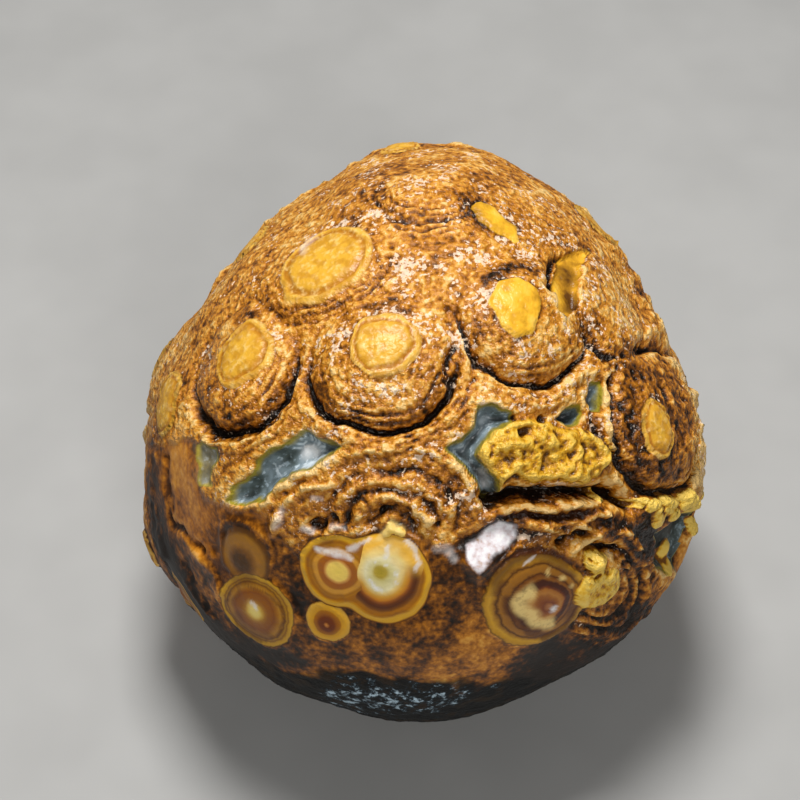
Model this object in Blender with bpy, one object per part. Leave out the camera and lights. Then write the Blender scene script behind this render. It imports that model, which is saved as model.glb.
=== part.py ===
"""A weathered eye agate pebble: one natural stone, lying on a small flat spot.

The stone is described in its face frame: right and up as it is seen from the front, and towards the viewer.
The face looks up at an angle, because the stone lies on its back. Lengths are in millimetres until the mesh
is made. A place on the face is the pixel of the 800 x 800 photograph where it is seen; a place elsewhere is a
direction from the middle.
"""

import itertools
import math

import bmesh
import bpy
import numpy as np

# Driving dimensions, in millimetres
WIDTH = 42.0
FRONT_DEPTH = 19.5
BACK_DEPTH = 16.5
BACK_SLANT = -0.20
METRE = 0.001

# How the stone lies: the face's tilt above the horizon, and the middle of the face in the part's frame
FACE_TILT = math.radians(50.0)
MIDDLE = np.array([0.0, 0.27, 18.3])
UP = np.array([0.0, math.sin(FACE_TILT), math.cos(FACE_TILT)])
TOWARDS = np.array([0.0, -math.cos(FACE_TILT), math.sin(FACE_TILT)])

# The photograph: the stone's middle and width in pixels, and the viewer's distance from the middle
MIDDLE_PIXEL = (421.0, 437.0)
WIDTH_PIXELS = 557.0
PIXEL = WIDTH / WIDTH_PIXELS
VIEWER = 168.0

# Mesh fineness: quads along a cube edge before thinning, how much closer they lie at the front, and the
# triangles that are kept
GRID = 84
FRONT_CLOSENESS = 1.35
TRIANGLES = 9200

# Noise: the order of its cells and the slope in each
RANDOM = np.random.default_rng(7)
ORDER = RANDOM.permutation(256)
SLOPES = RANDOM.normal(size=(256, 3))
SLOPES /= np.linalg.norm(SLOPES, axis=1, keepdims=True)


def side(azimuth, elevation):
    """The face frame's direction from the middle, by degrees round from the front and above the horizon."""
    azimuth, elevation = math.radians(azimuth), math.radians(elevation)
    flat = math.cos(elevation)
    way = np.array([math.sin(azimuth) * flat, -math.cos(azimuth) * flat, math.sin(elevation)])
    return float(way[0]), float(way @ UP), float(way @ TOWARDS)


# The outline against the background, clockwise from the top
OUTLINE = [
    (430, 149), (482, 153), (530, 179), (571, 208), (608, 242), (640, 291), (660, 326),
    (674, 358), (686, 396), (694, 440), (697, 485), (694, 530), (680, 565), (655, 598),
    (622, 636), (580, 667), (530, 693), (470, 713), (405, 722), (345, 715), (290, 693),
    (245, 661), (207, 624), (178, 588), (156, 545), (144, 490), (146, 440), (157, 392),
    (180, 348), (213, 292), (262, 234), (320, 188), (375, 157),
]

# Domes of crust: place, radii across and along, height, depth and half width of the groove round the lower
# side
DOMES = {
    "left": ((241, 366), 4.3, 4.7, 0.9, 1.0, 0.40),
    "middle": ((380, 360), 5.2, 4.7, 1.2, 0.9, 0.24),
    "right": ((526, 317), 4.7, 4.7, 1.1, 0.8, 0.28),
    "upper_left": ((322, 262), 5.2, 4.7, 0.4, 0.10, 0.30),
    "shoulder": ((607, 303), 4.6, 4.3, 0.7, 0.5, 0.30),
    "edge": ((655, 420), 6.0, 4.9, 0.7, 0.8, 0.35),
    "crown": ((428, 192), 3.6, 3.4, 0.35, 0.08, 0.30),
}

# Raised yellow discs with a rim: place, radii across and along, turn, height
DISCS = {
    "upper_left": ((325, 264), 3.65, 3.35, 30, 0.40),
    "left": ((251, 357), 2.65, 2.25, 75, 0.38),
    "middle": ((386, 347), 2.30, 2.25, 0, 0.45),
    "edge": ((645, 431), 2.0, 1.5, 100, 0.40),
    "left_rim": ((171, 405), 2.5, 1.8, 70, 0.35),
}

# Flat yellow flakes with corners: outline, height (a negative one is sunk)
FLAKES = {
    "right": ([(486, 305), (500, 284), (519, 280), (537, 286), (538, 315), (530, 336),
               (515, 342), (500, 326)], 0.42),
    "upper_right": ([(469, 211), (481, 206), (496, 210), (507, 222), (519, 230), (519, 243),
                     (512, 245), (495, 236), (476, 222)], 0.35),
    "shoulder": ([(560, 253), (584, 251), (592, 255), (582, 266), (577, 282), (580, 307),
                  (568, 314), (557, 304), (552, 285)], -0.45),
}

# Polished eyes: place, radii across and along, turn, height of the boss
EYES = {
    "twin_large": ((381, 573), 3.60, 3.75, 0, 0.35),
    "twin_small": ((337, 573), 2.65, 2.65, 0, 0.25),
    "below_twins": ((327, 625), 1.70, 1.65, 0, 0.15),
    "lower_left": ((257, 611), 3.35, 3.55, -50, 0.35),
    "lower_right": ((536, 602), 4.50, 3.70, -55, 0.40),
    "faint": ((245, 552), 2.4, 2.6, 0, 0.30),
}

# Sunken grey chalcedony: outline, depth
POOLS = {
    "left": ([(229, 502), (231, 487), (241, 479), (251, 473), (255, 462), (267, 455), (283, 442),
              (290, 435), (305, 428), (326, 438), (340, 448), (322, 461), (313, 468), (292, 472),
              (285, 480), (278, 488), (269, 496), (266, 502), (243, 506)], 1.15),
    "small_left": ([(195, 447), (205, 442), (220, 447), (221, 463), (213, 471), (213, 488),
                    (201, 489), (199, 471), (195, 462)], 0.35),
    "right": ([(441, 447), (460, 438), (472, 424), (474, 408), (492, 404), (514, 411),
               (515, 424), (498, 430), (484, 440), (476, 452), (484, 466), (496, 482),
               (500, 497), (488, 504), (476, 488), (462, 466)], 1.25),
    "hole": ([(553, 420), (562, 412), (578, 405), (585, 414), (580, 428), (570, 430)], 1.7),
    "upper_hole": ([(588, 402), (592, 386), (601, 381), (603, 392), (600, 412), (590, 409)], 1.1),
    "edge": ([(652, 533), (668, 521), (690, 509), (712, 508), (708, 548), (680, 575),
              (655, 572)], 1.5),
}

# The deep crack across the right side, widest in the middle: line, half width, depth
CRACK = ([(489, 502), (512, 496), (545, 493), (580, 494), (606, 492), (622, 496), (633, 501)], 0.52, 2.6)

# Low walls and ledges: line, half width, height (a negative one is a groove)
LEDGES = [
    ([(209, 441), (235, 447), (258, 440), (280, 425), (305, 408), (325, 425), (350, 438), (380, 446),
      (410, 441), (437, 428), (460, 412), (484, 400), (510, 405), (540, 404), (568, 392), (590, 373),
      (608, 358)], 0.75, 0.32),
    ([(505, 512), (527, 507), (551, 508), (575, 504), (588, 508)], 0.28, 0.50),
    ([(519, 520), (545, 521), (569, 518), (588, 517), (606, 512)], 0.24, 0.40),
    ([(517, 527), (545, 525), (562, 529), (576, 524), (597, 531), (612, 523), (624, 527), (634, 542)],
     0.30, 0.50),
    ([(507, 518), (551, 515), (575, 513)], 0.20, -0.40),
    ([(560, 541), (572, 535), (581, 534)], 0.55, -0.80),
    ([(588, 552), (600, 545), (616, 550)], 0.50, -0.90),
    ([(576, 546), (588, 541), (596, 534)], 0.30, 0.40),
    ([(610, 376), (614, 400), (616, 430), (617, 465)], 0.22, -0.70),
    ([(604, 376), (606, 410), (608, 450)], 0.35, 0.45),
    ([(640, 347), (655, 345), (664, 352)], 0.55, -0.90),
    ([(612, 245), (632, 285), (650, 320), (660, 340)], 0.60, 0.40),
    ([(690, 395), (694, 430), (693, 470), (690, 500)], 0.65, 0.40),
    ([(556, 256), (549, 270), (550, 287)], 0.30, -0.70),
    ([(163, 455), (167, 485), (170, 508), (174, 527), (182, 533), (192, 542), (204, 554)], 0.20, -0.35),
    ([(216, 553), (222, 536), (233, 527)], 0.18, -0.15),
    ([(181, 536), (197, 556), (212, 575), (221, 592)], 0.32, 0.22),
    ([(188, 583), (200, 602), (213, 622)], 0.22, 0.18),
    ([(183, 560), (196, 582), (206, 604)], 0.30, -0.18),
    ([(152, 452), (151, 490), (157, 525), (166, 555)], 0.30, 0.25),
    ([(470, 392), (480, 380), (474, 360)], 0.25, -0.35),
    ([(449, 310), (451, 345), (450, 385)], 0.30, -0.50),
    ([(262, 508), (275, 490), (296, 476), (322, 468), (341, 456), (367, 449), (398, 447), (430, 453),
      (455, 470), (470, 492)], 0.38, 0.35),
    ([(273, 532), (281, 508), (300, 492), (328, 484)], 0.30, 0.35),
    ([(449, 512), (461, 498), (474, 508), (489, 500)], 0.35, 0.40),
]

# Arcs of ridges and grooves: middle, sideways stretch, bearing and half spread in degrees, then the radius,
# half width and height of each
ARCS = [
    ((391, 528), 1.12, 90, 95,
     [(1.35, 0.36, -0.40), (2.30, 0.42, 0.28), (3.05, 0.22, -0.22), (3.75, 0.36, 0.26), (4.55, 0.22, -0.24)]),
    ((427, 510), 1.0, 60, 150, [(0.85, 0.18, 0.16), (1.25, 0.16, -0.12)]),
    ((597, 587), 1.0, -35, 85,
     [(1.90, 0.20, 0.14), (2.30, 0.15, -0.16), (2.70, 0.20, 0.18), (3.15, 0.16, -0.20), (3.70, 0.26, 0.20)]),
]

# The lumpy yellow patch over the crack: outline, height
LUMPS = ([(474, 446), (487, 436), (497, 426), (520, 420), (548, 424), (560, 430), (584, 432),
          (604, 440), (606, 460), (597, 478), (582, 484), (560, 478), (535, 482), (512, 478),
          (498, 488), (487, 470)], 0.55)

# Yellow knobs: place, radii across and along, turn, height
KNOBS = [
    ((594, 559), 1.15, 0.90, -40, 0.75), ((596, 588), 2.15, 1.75, -40, 0.65),
    ((676, 561), 1.30, 0.85, 20, 0.70), ((700, 526), 0.95, 0.50, 80, 0.50),
    ((679, 500), 1.20, 0.85, -15, 0.65), ((664, 502), 1.15, 0.80, -10, 0.50),
    ((650, 506), 0.85, 0.60, 0, 0.40), ((655, 516), 0.95, 0.60, -10, 0.45),
    ((640, 500), 0.75, 0.45, -10, 0.35), ((670, 513), 0.70, 0.50, -10, 0.40),
    ((688, 508), 0.60, 0.50, 0, 0.40), ((603, 494), 0.50, 0.50, 0, 1.20),
    ((697, 497), 0.30, 0.30, 0, 0.40), ((384, 531), 0.35, 0.35, 0, 0.22),
    ((391, 526), 0.40, 0.40, 0, 0.28), ((399, 530), 0.35, 0.35, 0, 0.22),
]

# Small round pits: place, radius, depth
PITS = [
    ((315, 522), 0.55, 0.7), ((331, 519), 0.45, 0.5), ((515, 418), 0.35, 0.6), ((524, 433), 0.40, 0.7),
    ((545, 421), 0.35, 0.5), ((427, 510), 0.45, 0.2), ((655, 394), 0.50, 0.6), ((662, 432), 0.25, 0.4),
    ((595, 571), 0.28, 0.5), ((672, 556), 0.30, 0.5), ((597, 590), 0.85, 0.3),
]

# The pale glossy facet, which leans back: outline, middle, slope
FACET = ([(466, 545), (499, 527), (517, 528), (515, 541), (497, 553), (478, 570), (469, 559)],
         (494, 548), 0.45)

# The sides and back, which the photograph doesn't show: place, radius and height of the dome, radius of the
# disc on it; then discs without a dome, hollows, and ledges and grooves as on the face
BACK_DOMES = [
    (side(180, 20), 6.2, 1.0, 2.8),
    (side(143, 11), 5.2, 0.9, 2.3),
    (side(219, 13), 5.4, 0.9, 2.4),
    (side(107, -1), 4.6, 0.7, 2.0),
    (side(252, 5), 4.9, 0.8, 2.1),
    (side(162, -17), 4.4, 0.7, 1.9),
    (side(201, -15), 4.7, 0.7, 2.0),
    (side(286, -16), 4.0, 0.6, 1.7),
    (side(88, -32), 4.0, 0.6, 1.7),
]
BACK_LEDGE = 0.34
BACK_DISCS = [(side(128, 37), 2.3), (side(236, 39), 2.0), (side(186, 44), 1.7)]
BACK_POOLS = [
    (side(161, 3), 2.6, 0.9),
    (side(199, 4), 3.0, 1.0),
    (side(125, -12), 2.6, 0.9),
    (side(235, -8), 2.4, 0.8),
    (side(268, -14), 2.4, 0.8),
    (side(79, -9), 2.2, 0.8),
]
BACK_LEDGES = [
    ([side(96, 20), side(110, 24), side(124, 20), side(134, 28), side(150, 32)], 0.45, 0.35),
    ([side(98, 17), side(112, 20), side(125, 16)], 0.25, -0.55),
    ([side(205, 33), side(222, 34), side(238, 27), side(254, 28), side(268, 20)], 0.45, 0.35),
    ([side(222, 30), side(239, 23), side(255, 24)], 0.25, -0.50),
    ([side(92, -12), side(110, -24), side(126, -22), side(141, -12), side(150, -22), side(168, -35)],
     0.50, 0.35),
    ([side(182, -8), side(184, -22), side(196, -34), side(214, -32), side(226, -20), side(246, -20),
      side(262, -26), side(278, -34)], 0.50, 0.35),
    ([side(166, 44), side(176, 38), side(190, 37), side(200, 42)], 0.30, 0.25),
]


def smooth(low, high, value):
    """0 below low, 1 above high, and a smooth step between them."""
    share = np.clip((value - low) / (high - low), 0.0, 1.0)
    return share * share * (3.0 - 2.0 * share)


def cell_noise(points):
    """Gradient noise from -1 to 1 with cells of size 1."""
    cell = np.floor(points).astype(int)
    within = points - cell
    fade = within**3 * (within * (within * 6.0 - 15.0) + 10.0)
    total = np.zeros(len(points))
    for corner in itertools.product((0, 1), repeat=3):
        x, y, z = (cell + corner).T % 256
        slope = SLOPES[ORDER[(ORDER[(ORDER[x] + y) % 256] + z) % 256]]
        weight = np.prod(np.where(corner, fade, 1.0 - fade), axis=1)
        total += weight * np.sum(slope * (within - corner), axis=1)
    return 1.5 * total


def lumpy(points, size, octaves, place=0.0):
    """Layers of noise about zero, with lumps of this size in millimetres and finer ones on them."""
    total = np.zeros(len(points))
    for octave in range(octaves):
        total += 0.5**octave * cell_noise(points * (2.0**octave / size) + place + 31.7 * octave)
    return total


def outline_reach(angle):
    """Distance from the middle to the outline, in this direction round the face."""
    across = (np.array([p[0] for p in OUTLINE]) - MIDDLE_PIXEL[0]) * PIXEL
    along = (MIDDLE_PIXEL[1] - np.array([p[1] for p in OUTLINE])) * PIXEL
    turns = np.arctan2(along, across)
    order = np.argsort(turns)
    turns, reach = turns[order], np.hypot(across, along)[order]
    turns = np.concatenate([turns[-2:] - 2 * math.pi, turns, turns[:2] + 2 * math.pi])
    reach = np.concatenate([reach[-2:], reach, reach[:2]])
    k = np.clip(np.searchsorted(turns, angle) - 1, 1, len(turns) - 3)
    gap = turns[k + 1] - turns[k]
    t = (angle - turns[k]) / gap
    slope_in = (reach[k + 1] - reach[k - 1]) / (turns[k + 1] - turns[k - 1]) * gap
    slope_out = (reach[k + 2] - reach[k]) / (turns[k + 2] - turns[k]) * gap
    curve = (
        (2 * t**3 - 3 * t**2 + 1) * reach[k]
        + (t**3 - 2 * t**2 + t) * slope_in
        + (3 * t**2 - 2 * t**3) * reach[k + 1]
        + (t**3 - t**2) * slope_out
    )
    # The outline is a tangent from the viewer, so the widest section is a little smaller
    return curve * math.sqrt(1.0 - (FRONT_DEPTH / VIEWER) ** 2)


def body(directions):
    """The plain pebble: a point for each direction from the middle, in the face frame."""
    x, y, z = directions.T
    reach = outline_reach(np.arctan2(y, x))
    depth = np.where(z > 0.0, FRONT_DEPTH, BACK_DEPTH * (1.0 + BACK_SLANT * y))
    return np.stack([reach * x, reach * y, depth * z], axis=1)


def body_normals(directions):
    """Outward normals of the plain pebble."""
    step = 0.02
    helper = np.where(np.abs(directions[:, 2:]) < 0.9, (0.0, 0.0, 1.0), (1.0, 0.0, 0.0))
    first = np.cross(helper, directions)
    first /= np.linalg.norm(first, axis=1, keepdims=True)
    second = np.cross(directions, first)

    def moved(way):
        there = directions + step * way
        return body(there / np.linalg.norm(there, axis=1, keepdims=True))

    normals = np.cross(moved(first) - moved(-first), moved(second) - moved(-second))
    return normals / np.linalg.norm(normals, axis=1, keepdims=True)


def seen_at(points):
    """The pixel where each point of the face frame is seen."""
    nearness = VIEWER / (VIEWER - points[:, 2])
    across = MIDDLE_PIXEL[0] + points[:, 0] * nearness / PIXEL
    down = MIDDLE_PIXEL[1] - points[:, 1] * nearness / PIXEL
    return np.stack([across, down], axis=1)


def behind(pixel):
    """The direction from the middle to the point of the pebble's front that is seen at a pixel."""
    across = (pixel[0] - MIDDLE_PIXEL[0]) * PIXEL
    along = (MIDDLE_PIXEL[1] - pixel[1]) * PIXEL
    angle = math.atan2(along, across)
    reach = float(outline_reach(np.array([angle]))[0])
    flat = math.hypot(across, along) / reach
    share = min(flat, 0.99)
    for _ in range(40):
        share = min(flat * (VIEWER - FRONT_DEPTH * math.sqrt(1.0 - share**2)) / VIEWER, 0.995)
    return np.array([share * math.cos(angle), share * math.sin(angle), math.sqrt(1.0 - share**2)])


def direction_to(place):
    """The direction to a place that is given as a pixel of the face or as a direction."""
    return behind(place) if len(place) == 2 else np.array(place)


def plane_at(place, turn):
    """A place on the pebble, its normal, and two tangents there, turned by an angle in degrees."""
    direction = direction_to(place)
    origin = body(direction[None])[0]
    normal = body_normals(direction[None])[0]
    if len(place) == 2:
        right = np.array([1.0, 0.0, 0.0]) - normal[0] * normal
    else:
        right = np.cross((0.0, UP[2], TOWARDS[2]), normal)
    right /= np.linalg.norm(right)
    up = np.cross(normal, right)
    turn = math.radians(turn)
    major = right * math.cos(turn) + up * math.sin(turn)
    minor = up * math.cos(turn) - right * math.sin(turn)
    return origin, normal, major, minor


def spread_from(points, place, across, along, turn=0.0):
    """How far each point lies from a place on the pebble, as a share of the radii there, and its angle."""
    origin, normal, major, minor = plane_at(place, turn)
    way = points - origin
    a, b, c = way @ major, way @ minor, way @ normal
    share = np.sqrt((a / across) ** 2 + (b / along) ** 2 + (c / (2.0 * min(across, along))) ** 2)
    return share, np.arctan2(b, a) + math.radians(turn)


def line_distance(pixels, line, closed=False):
    """Distance in millimetres from each pixel to a line on the face."""
    ends = np.array(line + line[:1] if closed else line, float)
    nearest = np.full(len(pixels), np.inf)
    for start, end in zip(ends[:-1], ends[1:]):
        way = end - start
        share = np.clip(((pixels - start) @ way) / (way @ way), 0.0, 1.0)
        gap = pixels - start - share[:, None] * way
        nearest = np.minimum(nearest, np.hypot(gap[:, 0], gap[:, 1]))
    return nearest * PIXEL


def way_distance(points, line):
    """Distance in millimetres from each point to a line over the pebble, given by directions."""
    stops = []
    for start, end in zip(line[:-1], line[1:]):
        stops += [np.array(start) * (1.0 - share) + np.array(end) * share for share in (0.0, 0.33, 0.67)]
    stops = np.array(stops + [np.array(line[-1])])
    ends = body(stops / np.linalg.norm(stops, axis=1, keepdims=True))
    nearest = np.full(len(points), np.inf)
    for start, end in zip(ends[:-1], ends[1:]):
        way = end - start
        share = np.clip(((points - start) @ way) / (way @ way), 0.0, 1.0)
        nearest = np.minimum(nearest, np.linalg.norm(points - start - share[:, None] * way, axis=1))
    return nearest


def depth_inside(pixels, outline):
    """Distance in millimetres inside an outline on the face, negative outside it."""
    inside = np.zeros(len(pixels), bool)
    x, y = pixels.T
    for (x0, y0), (x1, y1) in zip(outline, outline[1:] + outline[:1]):
        crosses = (y0 > y) != (y1 > y)
        inside ^= crosses & (x < (x1 - x0) * (y - y0) / ((y1 - y0) or 1e-9) + x0)
    distance = line_distance(pixels, outline, closed=True)
    return np.where(inside, distance, -distance)


def bump(distance, half_width):
    """A rounded ridge: 1 on the line, fading to 0 beyond its half width."""
    return np.exp(-((distance / half_width) ** 2))


def dome_relief(points):
    """Domes of crust with a groove round the lower side, and on the unseen sides a ledge below it."""
    height = np.zeros(len(points))
    inside = np.full(len(points), -np.inf)
    groove = np.zeros(len(points))
    domes = [(*dome, 0.0) for dome in DOMES.values()]
    domes += [(place, size, size, rise, rise, 0.35, BACK_LEDGE) for place, size, rise, _ in BACK_DOMES]
    for place, across, along, rise, cut, half_width, ledge in domes:
        share, angle = spread_from(points, place, across, along)
        lower_side = smooth(-0.35, 0.6, -np.sin(angle))
        height = np.maximum(height, rise * np.clip(1.0 - share ** (1.8 + 1.7 * lower_side), 0.0, 1.0))
        depth = (1.0 - share) * 0.5 * (across + along)
        shape = cut * (0.08 + 0.92 * lower_side) * bump(depth + 0.15, half_width)
        shape -= ledge * lower_side * bump(depth + 1.0, 0.5)
        groove = np.where(depth > inside, shape, groove)
        inside = np.maximum(inside, depth)
    return height - groove


def disc_relief(points):
    """Raised discs with a rim and a groove inside it."""
    height = np.zeros(len(points))
    discs = list(DISCS.values())
    discs += [(place, size, size * 0.9, 0.0, 0.35) for place, _, _, size in BACK_DOMES]
    discs += [(place, size, size * 0.85, 20.0, 0.35) for place, size in BACK_DISCS]
    for place, across, along, turn, rise in discs:
        share, _ = spread_from(points, place, across, along, turn)
        plateau = smooth(0.0, 0.12, 1.0 - share)
        rim_groove = bump(share - 0.79, 0.06)
        height = np.maximum(height, rise * (plateau - 0.45 * rim_groove * plateau))
    return height


def eye_relief(points):
    """Polished eyes: a low boss with a raised rim round it."""
    height = np.zeros(len(points))
    for place, across, along, turn, rise in EYES.values():
        share, _ = spread_from(points, place, across, along, turn)
        boss = rise * np.clip(1.0 - share**2, 0.0, 1.0)
        height = np.maximum(height, boss + 0.12 * bump(share - 0.93, 0.06))
    return height


def arc_relief(pixels):
    """Concentric ridges and grooves that run part of the way round their middle."""
    height = np.zeros(len(pixels))
    for middle, stretch, bearing, half_spread, rings in ARCS:
        across = (pixels[:, 0] - middle[0]) * PIXEL / stretch
        along = (middle[1] - pixels[:, 1]) * PIXEL
        turn = np.degrees(np.arctan2(along, across)) - bearing
        turn = np.abs((turn + 180.0) % 360.0 - 180.0)
        within = smooth(half_spread + 15.0, half_spread - 15.0, turn)
        for size, half_width, rise in rings:
            height += rise * within * bump(np.hypot(across, along) - size, half_width)
    return height


def face_relief(points, pixels):
    """Everything on the face that is drawn by its outline or its line, without the domes and discs."""
    height = arc_relief(pixels)
    for line, half_width, rise in LEDGES:
        height += rise * bump(line_distance(pixels, line), half_width)
    height *= 1.0 + 0.9 * lumpy(points, 1.3, 3, 4.0)
    for outline, rise in FLAKES.values():
        height += rise * smooth(-0.12, 0.18, depth_inside(pixels, outline))
    for outline, depth in POOLS.values():
        height -= depth * smooth(-0.10, 0.75, depth_inside(pixels, outline))
    outline, rise = LUMPS
    patch = smooth(-0.05, 0.45, depth_inside(pixels, outline))
    height += patch * rise * (1.0 + 0.9 * lumpy(points, 1.1, 2, 3.0))
    outline, middle, slope = FACET
    lean = np.clip((pixels[:, 1] - middle[1]) * PIXEL * slope, -0.55, 0.55)
    height += lean * smooth(-1.1, 0.1, depth_inside(pixels, outline))
    line, half_width, depth = CRACK
    return height - depth * bump(line_distance(pixels, line), half_width)


def back_relief(points):
    """Ledges and grooves where the photograph doesn't reach."""
    height = np.zeros(len(points))
    for line, half_width, rise in BACK_LEDGES:
        height += rise * bump(way_distance(points, line), half_width)
    return height * (1.0 + 0.9 * lumpy(points, 1.3, 3, 4.0))


def small_relief(points):
    """Knobs and pits, and the pools of the back."""
    height = np.zeros(len(points))
    for place, across, along, turn, rise in KNOBS:
        share, _ = spread_from(points, place, across, along, turn)
        height += rise * np.sqrt(np.clip(1.0 - share**2, 0.0, 1.0))
    for place, size, depth in PITS:
        share, _ = spread_from(points, place, size, size)
        height -= depth * np.exp(-(share**4))
    for place, size, depth in BACK_POOLS:
        share, _ = spread_from(points, place, size, size * 0.7, 25.0)
        height -= depth * smooth(0.0, 0.3, 1.0 - share)
    return height


def stone_points(directions):
    """The finished surface for each direction, in the part's frame, in millimetres."""
    points = body(directions)
    normals = body_normals(directions)
    warp = np.stack([lumpy(points, 2.6, 3, k) for k in (10.0, 20.0, 30.0)], axis=1)
    bent = points + 0.38 * warp
    to_viewer = np.array([0.0, 0.0, VIEWER]) - points
    facing = np.sum(normals * to_viewer, axis=1) / np.linalg.norm(to_viewer, axis=1)
    on_face = smooth(-0.06, 0.06, facing)
    domes = dome_relief(bent)
    swell = 0.55 * lumpy(points, 11.0, 2, 5.0)
    pixels = seen_at(bent + (domes + swell)[:, None] * normals)
    height = domes + swell + disc_relief(bent) + eye_relief(bent) + small_relief(bent)
    height += on_face * face_relief(bent, pixels) + (1.0 - on_face) * back_relief(bent)
    height += 0.10 * lumpy(points, 1.3, 2, 7.0)
    points = points + normals * height[:, None]
    return points @ np.array([[1.0, 0.0, 0.0], UP, TOWARDS]) + MIDDLE


def sphere_grid(quads):
    """A sphere of even quads whose points lie closer together at the front: a bmesh of unit directions."""
    grid = bmesh.new()
    bmesh.ops.create_cube(grid, size=2.0)
    bmesh.ops.subdivide_edges(grid, edges=grid.edges[:], cuts=quads - 1, use_grid_fill=True)
    cube = np.array([v.co for v in grid.verts])
    ball = np.tan(cube * math.pi / 4.0)
    ball /= np.linalg.norm(ball, axis=1, keepdims=True)
    # A stereographic scaling about the front pole keeps the quads square
    flat = ball[:, :2] / (1.0 + ball[:, 2:] + 1e-9) / FRONT_CLOSENESS
    square = np.sum(flat**2, axis=1, keepdims=True)
    ball = np.hstack([2.0 * flat, 1.0 - square]) / (1.0 + square)
    return grid, ball


def make_stone():
    """The stone's fine mesh, thinned, and cut flat where it rests."""
    grid, directions = sphere_grid(GRID)
    for vertex, place in zip(grid.verts, stone_points(directions) * METRE):
        vertex.co = place
    mesh = bpy.data.meshes.new("stone")
    bmesh.ops.recalc_face_normals(grid, faces=grid.faces[:])
    bmesh.ops.triangulate(grid, faces=grid.faces[:])
    fine_triangles = len(grid.faces)
    grid.to_mesh(mesh)
    grid.free()
    stone = bpy.data.objects.new("stone", mesh)
    bpy.context.scene.collection.objects.link(stone)
    thin = stone.modifiers.new("thin", "DECIMATE")
    thin.ratio = TRIANGLES / fine_triangles
    bpy.context.view_layer.update()
    thinned = bpy.data.meshes.new_from_object(stone.evaluated_get(bpy.context.evaluated_depsgraph_get()))
    stone.modifiers.remove(thin)
    stone.data = thinned
    cut_flat(thinned)
    thinned.shade_smooth()
    thinned.set_sharp_from_angle(angle=math.radians(60.0))
    return stone


def cut_flat(mesh):
    """Cuts the mesh off at the surface it lies on, and fills the cut with one flat face."""
    work = bmesh.new()
    work.from_mesh(mesh)
    parts = work.verts[:] + work.edges[:] + work.faces[:]
    bmesh.ops.bisect_plane(work, geom=parts, plane_co=(0, 0, 0), plane_no=(0, 0, 1), clear_inner=True)
    rim = [edge for edge in work.edges if edge.is_boundary]
    bmesh.ops.contextual_create(work, geom=rim)
    bmesh.ops.recalc_face_normals(work, faces=work.faces[:])
    work.to_mesh(mesh)
    work.free()


def stone_material():
    """The plain golden brown of the whole stone."""
    material = bpy.data.materials.new("stone")
    material.use_nodes = True
    shader = material.node_tree.nodes["Principled BSDF"]
    shader.inputs["Base Color"].default_value = (0.33, 0.15, 0.035, 1.0)
    shader.inputs["Roughness"].default_value = 0.35
    return material


def main():
    """Clears the scene and makes the stone."""
    for item in list(bpy.data.objects):
        bpy.data.objects.remove(item)
    stone = make_stone()
    stone.data.materials.append(stone_material())


if __name__ == "__main__":
    main()
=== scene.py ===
"""The looks of a weathered eye agate pebble, lying on a small flat spot under soft studio light.

The stone's form repeats the named values and formulas of the CAD part in a finer mesh, and adds the grain
of its crust. It is described in its face frame: right and up as it is seen from the front, and towards the
viewer. Lengths are in millimetres until the mesh is made. A place on the face is the pixel of the 800 x 800
photograph where it is seen; a place elsewhere is a direction from the middle.
"""

import itertools
import math

import bmesh
import bpy
import numpy as np
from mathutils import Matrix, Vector


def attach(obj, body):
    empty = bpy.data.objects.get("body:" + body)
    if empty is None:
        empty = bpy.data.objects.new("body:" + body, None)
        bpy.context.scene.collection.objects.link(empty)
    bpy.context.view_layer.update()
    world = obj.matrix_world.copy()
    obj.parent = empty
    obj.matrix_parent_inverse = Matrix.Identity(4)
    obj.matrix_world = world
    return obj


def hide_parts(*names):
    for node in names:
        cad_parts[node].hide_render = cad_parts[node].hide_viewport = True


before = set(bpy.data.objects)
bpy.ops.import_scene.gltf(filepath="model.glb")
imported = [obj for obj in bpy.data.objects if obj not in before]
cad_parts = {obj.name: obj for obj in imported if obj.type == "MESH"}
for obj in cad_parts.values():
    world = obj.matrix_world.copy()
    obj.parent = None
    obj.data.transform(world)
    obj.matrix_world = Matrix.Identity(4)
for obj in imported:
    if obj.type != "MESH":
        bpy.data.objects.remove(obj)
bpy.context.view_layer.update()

# Driving dimensions, in millimetres
WIDTH = 42.0
FRONT_DEPTH = 19.5
BACK_DEPTH = 16.5
BACK_SLANT = -0.20
METRE = 0.001

# How the stone lies: the face's tilt, and the pebble's middle and the face's axes in the part's frame
FACE_TILT = math.radians(50.0)
MIDDLE = np.array([0.0, 0.27, 18.3])
UP = np.array([0.0, math.sin(FACE_TILT), math.cos(FACE_TILT)])
TOWARDS = np.array([0.0, -math.cos(FACE_TILT), math.sin(FACE_TILT)])
FACE_AXES = np.array([[1.0, 0.0, 0.0], UP, TOWARDS])

# The photograph: its size, the stone's middle and width in pixels, and the viewer's distance from the
# stone's middle in millimetres
PHOTO_PIXELS = 800
MIDDLE_PIXEL = (421.0, 437.0)
WIDTH_PIXELS = 557.0
PIXEL = WIDTH / WIDTH_PIXELS
VIEWER = 168.0

# Mesh fineness: quads along a cube edge, and how much closer they lie at the front
GRID = 128
FRONT_CLOSENESS = 1.5

# Noise: how many cells it has before it repeats, their order and the slope in each
CELLS = 256
RANDOM = np.random.default_rng(7)
ORDER = RANDOM.permutation(CELLS)
SLOPES = RANDOM.normal(size=(CELLS, 3))
SLOPES /= np.linalg.norm(SLOPES, axis=1, keepdims=True)

# Farther than any form reaches, in millimetres or in shares of its radius
FAR = 9.0

# The pebble's broad swells: size and height
SWELL_SIZE = 11.0
SWELL_HEIGHT = 0.55

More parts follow.
